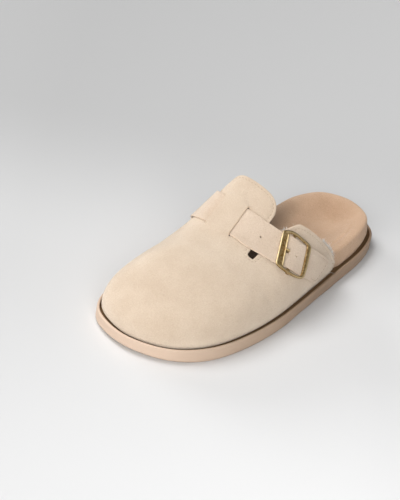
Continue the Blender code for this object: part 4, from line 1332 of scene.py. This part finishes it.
def upper_cover():
    """Suede shell over the last: outer face = last + lift along its normal.

    Near a cut edge the face drops on a quarter circle, and a shallow cosine groove
    carries the stitches at a fixed distance from the free edge.
    """
    slits = [fine_slit(row) for row in SLITS]
    clear = VENT_RADIUS + VENT_CLEARANCE
    vent = vent_loop(clear)
    # Inside is to the left of the free edge walked from the lateral side.
    extra = [offset_line(FREE_LINE, reach) for reach in EDGE_RINGS]
    for at, front, rear in [[HALF_GIRTH * v for v in row] for row in SLITS]:
        for off in SLIT_RINGS:
            y = np.arange(front - off, rear + off + 1e-6, RING_STEP)
            extra.append(np.c_[np.full(len(y), at - off), y])
            extra.append(np.c_[np.full(len(y), at + off), y])
    extra += [vent_loop(clear + reach) for reach in VENT_RINGS]
    loops = [pattern_outline(FREE_LINE)] + slits + [vent]
    flat, tri = fine_triangles(loops, UPPER_STEP, np.vstack(extra))
    a, b = flat[:, 0], flat[:, 1]
    free = far_from(flat, FREE_LINE, closed=False)
    cut = np.minimum(free, far_from(flat, vent))
    lips = np.minimum(far_from(flat, slits[0]), far_from(flat, slits[1]))
    lift, wall = upper_height(a, b)
    thick = np.minimum(SUEDE_THICKNESS, wall)
    groove = SEAM_DEPTH * (0.5 + 0.5 * np.cos(math.pi * np.clip(
        (free - STITCH_INSET) / SEAM_HALF, -1, 1)))
    swell = sum(depth * np.exp(-((free - at) / width) ** 2) for depth, at, width in SWELLS)
    drop = rounding(cut, UPPER_EDGE_RADIUS) + rounding(lips, LIP_RADIUS)
    outer = on_last(a, b, lift - drop - groove + swell)
    inner = on_last(a, b, lift - thick + 0.5 * rounding(cut, INNER_RADIUS))
    verts, faces = shell(tri, outer, inner)
    raw = np.maximum(fading(cut, RAW_REACH), fading(lips, RAW_LIP_REACH))
    raw = np.r_[raw, fading(np.minimum(cut, lips), RAW_INNER_REACH)]
    return build_mesh("upper_cover", verts, faces, UPPER_SUEDE, raw)


# Lining.
def lining_depth(a, b):
    """Depth of the fleece's outer face under the suede; deeper below the strap."""
    x, y = a / HALF_GIRTH, b / HALF_GIRTH
    low = ease((x + 0.30) / 0.07) * ease((0.29 - x) / 0.07)
    low = low * ease((y - 0.20) / 0.07) * ease((0.71 - y) / 0.07)
    return SUEDE_THICKNESS + FLEECE_GAP + FLEECE_HOLLOW * low


def fleece_lining():
    """Lumpy shell inside the upper: both faces are the last moved in along its normal."""
    free = offset_line(FREE_LINE, 0.0006)[::2]
    outline = pattern_outline(free) * np.array([0.997, 0.997])
    vent = vent_loop(VENT_RADIUS + 0.0020)
    flat, tri = fine_triangles([outline, vent], FLEECE_STEP, offset_line(free, 0.0010)[::2])
    a, b = flat[:, 0], flat[:, 1]
    edge = far_from(flat, free, closed=False)
    deep = lining_depth(a, b)
    top = on_last(a, b, -deep)
    lump = noise3(top, 0.0048, 8) + 0.7 * noise3(top, 0.0022, 9)
    body = FLEECE_DEPTH * (0.45 + 0.55 * ease(edge / 0.003)) * (1 + 0.22 * lump)
    side = np.clip((HALF_GIRTH - np.abs(a)) / 0.010, 0.25, 1) * np.clip(
        (HALF_GIRTH - np.hypot(a, np.minimum(b, 0))) / 0.010, 0.25, 1)
    verts, faces = shell(tri, top, on_last(a, b, -deep - body * side))
    # Painted shade: the lining turns to its dark deep colour from 8 to 20 mm in from the free
    # edge.
    inward = ease((edge - 0.008) / 0.012)
    return build_mesh("fleece_lining", verts, faces, FLEECE, np.r_[inward, inward])


def strands(root, direction, length, bend, radius, sides=3):
    """Tapered curved hairs: root + direction * t * length + bend * t squared."""
    n = len(root)
    axis = direction / np.linalg.norm(direction, axis=1)[:, None]
    helper = np.where(np.abs(axis[:, 2:3]) < 0.8, [[0.0, 0.0, 1.0]], [[1.0, 0.0, 0.0]])
    u = np.cross(axis, helper)
    u /= np.linalg.norm(u, axis=1)[:, None]
    v = np.cross(axis, u)
    t = column(HAIR_SHAPE, 0)
    centre = (root[:, None] + axis[:, None] * (t * length[:, None])[..., None]
              + bend[:, None] * (t ** 2)[None, :, None])
    tip = root + axis * length[:, None] + bend
    turn = np.linspace(0, 2 * math.pi, sides, endpoint=False)
    ring = (u[:, None] * np.cos(turn)[None, :, None] + v[:, None] * np.sin(turn)[None, :, None])
    size = radius[:, None, None, None] * column(HAIR_SHAPE, 1)[None, :, None, None]
    body = centre[:, :, None] + ring[:, None] * size
    verts = np.concatenate([body.reshape(n, -1, 3), tip[:, None], root[:, None]], 1)
    rings = len(HAIR_SHAPE)
    end = rings * sides
    faces = []
    for i in range(sides):
        j = (i + 1) % sides
        for k in range(0, end - sides, sides):
            faces += [(k + i, k + j, k + sides + j), (k + i, k + sides + j, k + sides + i)]
        faces += [(end - sides + i, end - sides + j, end), (j, i, end + 1)]
    faces = np.array(faces)[None] + (np.arange(n) * (end + 2))[:, None, None]
    return verts.reshape(-1, 3), faces.reshape(-1, 3)


def fleece_pile():
    """Loose wool that shows along the free edge and over the inner face of the lining.

    Hairs of the edge start inside the suede and lean out over it, thick where the table
    says and none on the tongue; short curls stand on the inner face behind the edge.
    """
    rng = np.random.default_rng(11)
    line = FREE_LINE
    h = HALF_GIRTH
    along = line[:, 1] / h
    rear, front, medial = [ease((along - start) / rise) * ease((stop - along) / fall)
                           for start, rise, stop, fall in PILE_PLACES]
    weight = np.where(line[:, 0] > 0, REAR_PILE * rear + FRONT_PILE * front,
                      MEDIAL_PILE + medial)
    weight = np.where(np.abs(line[:, 0]) < TONGUE_HALF * h, 0.0, weight)
    count, shortest, spread, curl, thin, thick, scatter = EDGE_HAIR
    pick = rng.choice(len(line), count, p=weight / weight.sum())
    inward = offset_line(line, 1.0) - line
    q = line[pick] + inward[pick] * (0.0004 + 0.0042 * rng.random(count) ** 1.3)[:, None]
    q = q + rng.normal(0, 0.0006, (count, 2))
    keep = np.abs(q[:, 0]) < 0.995 * h
    q, pick = q[keep], pick[keep]
    n = len(q)
    root = on_last(q[:, 0], q[:, 1], -(SUEDE_THICKNESS + 0.0006 + 0.0016 * rng.random(n)))
    normal = last_normal(q[:, 0], q[:, 1])
    beyond = q - inward[pick] * 0.002
    away = last(beyond[:, 0], beyond[:, 1]) - last(q[:, 0], q[:, 1])
    away /= np.linalg.norm(away, axis=1)[:, None]
    direction = away * 0.9 - normal * 0.55 + rng.normal(0, scatter, (n, 3))
    length = (shortest + spread * rng.random(n)) * (1 + 0.7 * rear[pick])
    bend = rng.normal(0, curl, (n, 3)) - normal * 0.0006
    first = strands(root, direction, length, bend, thin + thick * rng.random(n))
    count, shortest, spread, curl, thin, thick, scatter = INNER_HAIR
    a = rng.uniform(-0.985, 0.985, count) * h
    b = rng.uniform(0.10, 1.30, count) * h
    q = np.c_[a, b]
    q = q[within(q, pattern_outline(offset_line(line, 0.0012)[::2]))]
    n = len(q)
    root = on_last(q[:, 0], q[:, 1], -(lining_depth(q[:, 0], q[:, 1]) + 0.75 * FLEECE_DEPTH))
    normal = last_normal(q[:, 0], q[:, 1])
    direction = rng.normal(0, scatter, (n, 3)) - normal
    length = shortest + spread * rng.random(n)
    bend = rng.normal(0, curl, (n, 3))
    second = strands(root, direction, length, bend, thin + thick * rng.random(n))
    verts = np.vstack([first[0], second[0]])
    faces = np.vstack([first[1], second[1] + len(first[0])])
    return build_mesh("fleece_pile", verts, faces, FLEECE, sharp=180.0)


# Strap.
def strap_cover():
    """Suede strip on the part's strap path, its cut edges rounded, with pin holes."""
    start, stop, side = STRAP_START, STRAP_STOP, HALF_WIDTH
    corners = [(start, -side, 0.0), (stop, -side, STRAP_END_RADIUS),
               (stop, side, STRAP_END_RADIUS), (start, side, 0.0)]
    loop = resample(rounded(corners), LINE_STEP, closed=True)
    vent = oval((VENT_AT, 0.0), VENT_RADIUS, VENT_RADIUS, 36)
    pins = SPARE_HOLES + [(PIN_HOLE_AT, PIN_HOLE)]
    holes = [oval((at, 0.0), size / 2, size / 2, 14) for at, size in SPARE_HOLES]
    holes.insert(0, oval((PIN_HOLE_AT, 0.0), PIN_HOLE / 2, PIN_HOLE / 2, 18))
    extra = [offset_line(loop, reach, closed=True) for reach in STRAP_RINGS]
    extra += [oval((VENT_AT, 0.0), VENT_RADIUS + r, VENT_RADIUS + r, 36) for r in HOLE_RINGS]
    for at, size in pins:
        extra += [oval((at, 0.0), size / 2 + r, size / 2 + r, 14) for r in HOLE_RINGS]
    flat, tri = fine_triangles([loop, vent] + holes, STRAP_STEP, np.vstack(extra))
    at, share = flat[:, 0], flat[:, 1] / HALF_WIDTH
    rim = far_from(flat, loop)
    cut = np.minimum(rim, far_from(flat, vent))
    for hole in holes:
        cut = np.minimum(cut, far_from(flat, hole))
    seam = np.abs(rim - TAIL_GROOVE_INSET)
    tail = ease((at - (STRAP_STOP - TAIL_LENGTH)) / 0.003)
    groove = TAIL_GROOVE * tail * (0.5 + 0.5 * np.cos(math.pi * np.clip(seam / SEAM_HALF, 0, 1)))
    wave = 0.00012 * noise3(np.c_[at, flat[:, 1], 0 * at], 0.013, 21)
    free = TAIL_LIFT * ease((at - FRAME_REAR) / TAIL_RISE)
    high = STRAP_THICKNESS - rounding(cut, STRAP_EDGE_RADIUS) - groove + wave + free
    low = 0.6 * rounding(cut, INNER_RADIUS) + free
    verts, faces = shell(tri, strap_point(at, share, high), strap_point(at, share, low))
    raw = fading(cut, 0.0005)
    return build_mesh("strap_cover", verts, faces, STRAP_SUEDE, np.r_[raw, raw])


# Thread.
def stitches(path, outward_n):
    """Short capsules laid one after another along a path of points in space."""
    d = np.r_[0, np.cumsum(np.linalg.norm(np.diff(path, axis=0), axis=1))]
    at = np.arange(STITCH_STEP / 2, d[-1] - STITCH_STEP / 2, STITCH_STEP)
    t, size, sink = [column(STITCH_SHAPE, i) for i in range(3)]
    t = t * STITCH_LENGTH
    place = at[:, None] + t[None]
    centre, up = [np.stack([np.interp(place, d, v[:, i]) for i in range(3)], -1)
                  for v in (path, outward_n)]
    up /= np.linalg.norm(up, axis=-1)[..., None]
    along = np.gradient(centre, axis=1)
    along /= np.linalg.norm(along, axis=-1)[..., None]
    side = np.cross(along, up)
    centre = centre - up * (sink * THREAD_RADIUS)[None, :, None]
    turn = np.linspace(0, 2 * math.pi, STITCH_SIDES, endpoint=False)
    ring = (side[:, :, None] * np.cos(turn)[None, None, :, None]
            + up[:, :, None] * np.sin(turn)[None, None, :, None] * STITCH_FLATNESS)
    verts = centre[:, :, None] + ring * (THREAD_RADIUS * size)[None, :, None, None]
    first = (np.arange(len(at)) * len(t) * STITCH_SIDES)[:, None]
    faces = grid_faces(len(t), STITCH_SIDES)[None] + first[..., None]
    caps = np.arange(STITCH_SIDES)[None, ::-1] + first
    ends = caps[:, ::-1] + (len(t) - 1) * STITCH_SIDES
    return verts.reshape(-1, 3), [faces.reshape(-1, 4), caps, ends]


def seam_thread():
    """One row of stitches inside the upper's free edge and one round the strap's tail."""
    line = offset_line(FREE_LINE, STITCH_INSET)
    keep = np.abs(line[:, 0]) < 0.97 * HALF_GIRTH
    line = line[keep]
    lift, wall = upper_height(line[:, 0], line[:, 1])
    path = on_last(line[:, 0], line[:, 1], lift - SEAM_DEPTH + THREAD_SEAT * THREAD_RADIUS)
    normal = last_normal(line[:, 0], line[:, 1])
    verts, faces = stitches(path, normal)
    side = HALF_WIDTH - STITCH_INSET
    stop = STRAP_STOP - STITCH_INSET
    start = stop - TAIL_SEAM
    turn = STRAP_END_RADIUS - 0.6 * STITCH_INSET
    corners = [(start, -side, 0.0), (stop, -side, turn), (stop, side, turn), (start, side, 0.0)]
    line = resample(rounded(corners), 0.0008)
    path = strap_point(line[:, 0], line[:, 1] / HALF_WIDTH,
                       STRAP_THICKNESS + TAIL_LIFT - 0.0001 + THREAD_SEAT * THREAD_RADIUS)
    normal = last_normal(*along_strap(line[:, 0], line[:, 1] / HALF_WIDTH))
    tail, tail_faces = stitches(path, normal)
    faces = list(faces) + [f + len(verts) for f in tail_faces]
    return build_mesh("seam_thread", np.vstack([verts, tail]), faces, THREAD)


# Buckle.
def casting_loops(count):
    """Outer and inner line of the frame, walked together, with softened corners."""
    half = (FRAME_REAR - FRAME_FRONT) / 2
    mid = (FRAME_REAR + FRAME_FRONT) / 2
    t = np.linspace(-1, 1, count)
    s_in = np.linspace(FRAME_FRONT + WIDE_BAR, FRAME_REAR - THIN_BAR, count)
    w_in = rail_edge((s_in - mid) / half, True)
    bar = np.linspace(1, -1, count)[1:-1]
    loops = []
    for s_rail, w_rail in ((mid + half * t, rail_edge(t, False)), (s_in, w_in)):
        rear = np.c_[np.full(count - 2, s_rail[-1]), w_rail[-1] * bar]
        front = np.c_[np.full(count - 2, s_rail[0]), -w_rail[0] * bar]
        loops.append(np.vstack([np.c_[s_rail, w_rail], rear,
                                np.c_[s_rail[::-1], -w_rail[::-1]], front]))
    kind = np.r_[np.zeros(count), np.ones(count - 2), np.zeros(count), np.full(count - 2, 2.0)]
    kernel = np.hanning(CASTING_SOFTENING)
    kernel /= kernel.sum()
    reach = CASTING_SOFTENING // 2
    out = []
    for loop in loops + [np.c_[kind == 1, kind == 2].astype(float)]:
        wide = np.vstack([loop[-reach:], loop, loop[:reach]])
        out.append(np.stack([np.convolve(v, kernel, "valid") for v in wide.T], -1))
    return out


def buckle_casting():
    """Section carried around the frame: panel between raised rims, rails half round.

    Across the band from 0 to 1 the top is: on the wide bar a flat panel sunk between
    two rims, on the thin bar two steps, on the rails a half circle.
    """
    outer, inner, kind = casting_loops(CASTING_STEPS)
    n = len(outer)
    x = np.array(BAND)[None]
    rear, front = kind[:, :1], kind[:, 1:]
    rail = np.clip(1 - rear - front, 0, 1)
    ends = np.minimum(x, 1 - x)
    panel = PANEL_DEPTH * ease((ends - 0.13) / 0.07) + BEVEL_DEPTH * (1 - ease(ends / 0.05))
    steps = STEP_DEPTH * ease((x - 0.42) / 0.10) + BEVEL_DEPTH * (1 - ease(ends / 0.07))
    round_top = RAIL_ROUND * (1 - np.sqrt(np.clip(1 - (1 - 2 * np.minimum(ends, 0.5)) ** 2, 0, 1)))
    drop = front * panel + rear * steps + rail * round_top
    across = np.r_[BAND, UNDERSIDE][None, :, None]
    band = outer[:, None] + (inner - outer)[:, None] * across
    high = FRAME_LIFT + FRAME_THICKNESS - drop
    z = np.concatenate([high, np.full((n, len(UNDERSIDE)), FRAME_LIFT)], 1)
    verts = frame_point(band[..., 0].reshape(-1), band[..., 1].reshape(-1) + FRAME_ASIDE,
                        z.reshape(-1))
    faces = grid_faces(n, z.shape[1], close_rows=True)
    bright = front * ease((0.22 - ends) / 0.08) + rear * ease((0.5 - x) / 0.1) * 0.8
    bright = bright + rail * (1 - ease((np.abs(x - 0.5) - 0.12) / 0.2)) * 0.8
    bright = np.concatenate([np.clip(bright, 0, 1), np.zeros((n, len(UNDERSIDE)))], 1)
    return build_mesh("buckle_casting", verts, faces, FRAME_BRASS, bright.reshape(-1), 40.0)


def buckle_crossbar():
    """Flat bar under the strap and its two legs, one section moved along the strap."""
    w = rail_edge(0.0, False) - LEG_INSET
    w_inner = rail_edge(0.0, True) + LEG_INSET
    low = GAP
    high = GAP + CROSSBAR_THICKNESS
    top = FRAME_LIFT + FRAME_THICKNESS / 2
    share = np.linspace(-1, 1, CROSSBAR_STEPS)
    under = [(w * v, low) for v in share]
    over = [(w_inner * v, high) for v in share[::-1]]
    profile = under + [(w, top), (w_inner, top)] + over + [(-w_inner, top), (-w, top)]
    p = np.array(profile)
    n = len(p)
    rows = np.linspace(-CROSSBAR_HALF, CROSSBAR_HALF, 5)
    verts = np.vstack([frame_point(np.full(n, s), p[:, 0] + FRAME_ASIDE, p[:, 1]) for s in rows])
    faces = grid_faces(len(rows), n)[:, ::-1]
    a = np.arange(CROSSBAR_STEPS)
    b = n - 3 - a
    bar = np.stack([a[:-1], a[1:], b[1:], b[:-1]], -1)
    end = CROSSBAR_STEPS - 1
    legs = np.array([[end, end + 1, end + 2, end + 3], [n - 3, n - 2, n - 1, 0]])
    cap = np.vstack([bar, legs])
    last_row = (len(rows) - 1) * n
    faces = [faces, cap, cap[:, ::-1] + last_row]
    piece = build_mesh("buckle_crossbar", verts, faces, FRAME_BRASS, np.full(len(verts), 0.2))
    return weld(piece)


def buckle_pin():
    """Round wire along a smooth path from the crossbar through the hole to the bar."""
    r = PRONG_DIAMETER / 2
    low = GAP + r
    high = FRAME_LIFT + FRAME_THICKNESS + GAP + r
    path = np.c_[PIN_HOLE_AT * column(PIN_PATH, 0), low + (high - low) * column(PIN_PATH, 1)]
    path = np.vstack([[(-CROSSBAR_HALF - GAP, low)], path])
    d = np.r_[0, np.cumsum(np.hypot(*np.diff(path, axis=0).T))]
    t = np.linspace(0, d[-1], PIN_STEPS)
    line = np.c_[np.interp(t, d, path[:, 0]), np.interp(t, d, path[:, 1])]
    for _ in range(PIN_SMOOTHING):
        line[1:-1] = (line[:-2] + 2 * line[1:-1] + line[2:]) / 4
    step = np.gradient(line, axis=0)
    step /= np.hypot(step[:, 0], step[:, 1])[:, None]
    end = np.clip((d[-1] - t) / r, 0, 1)
    size = r * np.sqrt(np.clip(1 - (1 - end) ** 2, 0.0004, 1))
    turn = np.linspace(0, 2 * math.pi, PIN_SIDES, endpoint=False)
    s = line[:, :1] - step[:, 1:] * size[:, None] * np.cos(turn)
    z = line[:, 1:] + step[:, :1] * size[:, None] * np.cos(turn)
    w = size[:, None] * np.sin(turn) / HALF_WIDTH
    verts = frame_point(s.reshape(-1), w.reshape(-1), z.reshape(-1))
    n = len(turn)
    faces = grid_faces(len(t), n)
    caps = np.array([np.arange(n)[::-1], np.arange(n) + (len(t) - 1) * n])
    return build_mesh("buckle_pin", verts, [faces, caps], FRAME_BRASS, np.full(len(verts), 0.6))


# Put the slipper together.
dressed = [
    (sole_unit(), "outsole", "sole_foam"),
    (footbed_cover(), "footbed", "footbed_suede"),
    (upper_cover(), "upper", "upper_suede"),
    (strap_cover(), "strap", "strap_suede"),
    (buckle_casting(), "buckle_frame", "frame_brass"),
    (buckle_crossbar(), "buckle_frame", "frame_brass"),
    (buckle_pin(), "buckle_prong", "prong_brass"),
]
for piece, node, slot in dressed:
    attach(piece, "root")
    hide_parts(node)
for piece in (fleece_lining(), fleece_pile(), seam_thread()):
    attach(piece, "root")


# Studio.
def studio_floor():
    """Plain pale floor whose tone runs softly from light in front to darker behind, and darker to
    one side: painted shade.
    """
    m = Surface("studio_paper", roughness=0.9, specular=0.2)
    split = m.node("ShaderNodeSeparateXYZ")
    turned = m.node("ShaderNodeMapping")
    turned.inputs["Rotation"].default_value = (0.0, 0.0, -FLOOR_TURN)
    m.link(m.place, turned.inputs["Vector"])
    m.link(turned.outputs["Vector"], split.inputs["Vector"])
    # Painted shade: the floor's tone darkens from front to back.
    ramp = m.node("ShaderNodeValToRGB")
    m.link(m.ramp(split.outputs["Y"], -FLOOR_REACH, FLOOR_REACH), ramp.inputs["Fac"])
    stops = ramp.color_ramp.elements
    stops[0].position, stops[-1].position = FLOOR_TONES[0][0], FLOOR_TONES[-1][0]
    for place, tone in FLOOR_TONES[1:-1]:
        stops.new(place)
    for stop, (place, tone) in zip(stops, FLOOR_TONES):
        stop.color = (tone,) * 3 + (1.0,)
    ramp.color_ramp.interpolation = "EASE"
    # Painted shade: darker towards one side.
    start, stop, darkest = FLOOR_ACROSS
    tint = m.mix(m.ramp(split.outputs["X"], start, stop), (darkest,) * 3 + (1.0,), (1.0,) * 4)
    both = m.node("ShaderNodeVectorMath")
    both.operation = "MULTIPLY"
    m.link(ramp.outputs["Color"], both.inputs[0])
    m.link(tint, both.inputs[1])
    m.colour(both.outputs["Vector"])
    count = FLOOR_SQUARES + 1
    t = np.linspace(-FLOOR_SIZE, FLOOR_SIZE, count)
    x, y = np.meshgrid(t, t)
    verts = np.c_[x.reshape(-1), y.reshape(-1), np.zeros(count * count)]
    return build_mesh("studio_floor", verts, grid_faces(count, count, close_columns=False), m.mat)


def area_light(name, direction, distance, size, power):
    """Round soft light that faces the slipper from a direction."""
    lamp = bpy.data.lights.new(name, "AREA")
    lamp.shape = "DISK"
    lamp.size = size
    lamp.energy = power
    holder = bpy.data.objects.new(name, lamp)
    bpy.context.scene.collection.objects.link(holder)
    d = Vector(direction).normalized()
    holder.location = d * distance
    holder.rotation_euler = d.to_track_quat("Z", "Y").to_euler()


def photo_camera():
    """Camera at the photograph's angle, turned about its own centre to need no shift."""
    az, el, roll = (math.radians(v) for v in CAMERA_ANGLES)
    back = Vector((math.sin(az) * math.cos(el), -math.cos(az) * math.cos(el), math.sin(el)))
    right = Vector((math.cos(az), math.sin(az), 0.0))
    up = back.cross(right)
    across = right * math.cos(roll) + up * math.sin(roll)
    upward = up * math.cos(roll) - right * math.sin(roll)
    place = Vector(CAMERA_TARGET) + back * CAMERA_DISTANCE
    aim = Vector(CAMERA_TARGET) - across * CAMERA_ASIDE
    back = (place - aim).normalized()
    across = upward.cross(back).normalized()
    upward = back.cross(across)
    data = bpy.data.cameras.new("photo_camera")
    data.lens = CAMERA_LENS
    data.sensor_width = 36.0
    data.sensor_fit = "HORIZONTAL"
    data.clip_end = 50.0
    cam = bpy.data.objects.new("photo_camera", data)
    cam.matrix_world = Matrix((
        (across.x, upward.x, back.x, place.x),
        (across.y, upward.y, back.y, place.y),
        (across.z, upward.z, back.z, place.z),
        (0.0, 0.0, 0.0, 1.0),
    ))
    bpy.context.scene.collection.objects.link(cam)
    bpy.context.scene.camera = cam


studio_floor()
for light in LIGHTS:
    area_light(*light)
world = bpy.data.worlds.new("studio_air")
world.use_nodes = True
air = world.node_tree.nodes["Background"]
air.inputs["Color"].default_value = (1.0, 1.0, 1.0, 1.0)
air.inputs["Strength"].default_value = AIR_LIGHT
bpy.context.scene.world = world
bpy.context.scene.view_settings.view_transform = "Standard"
photo_camera()
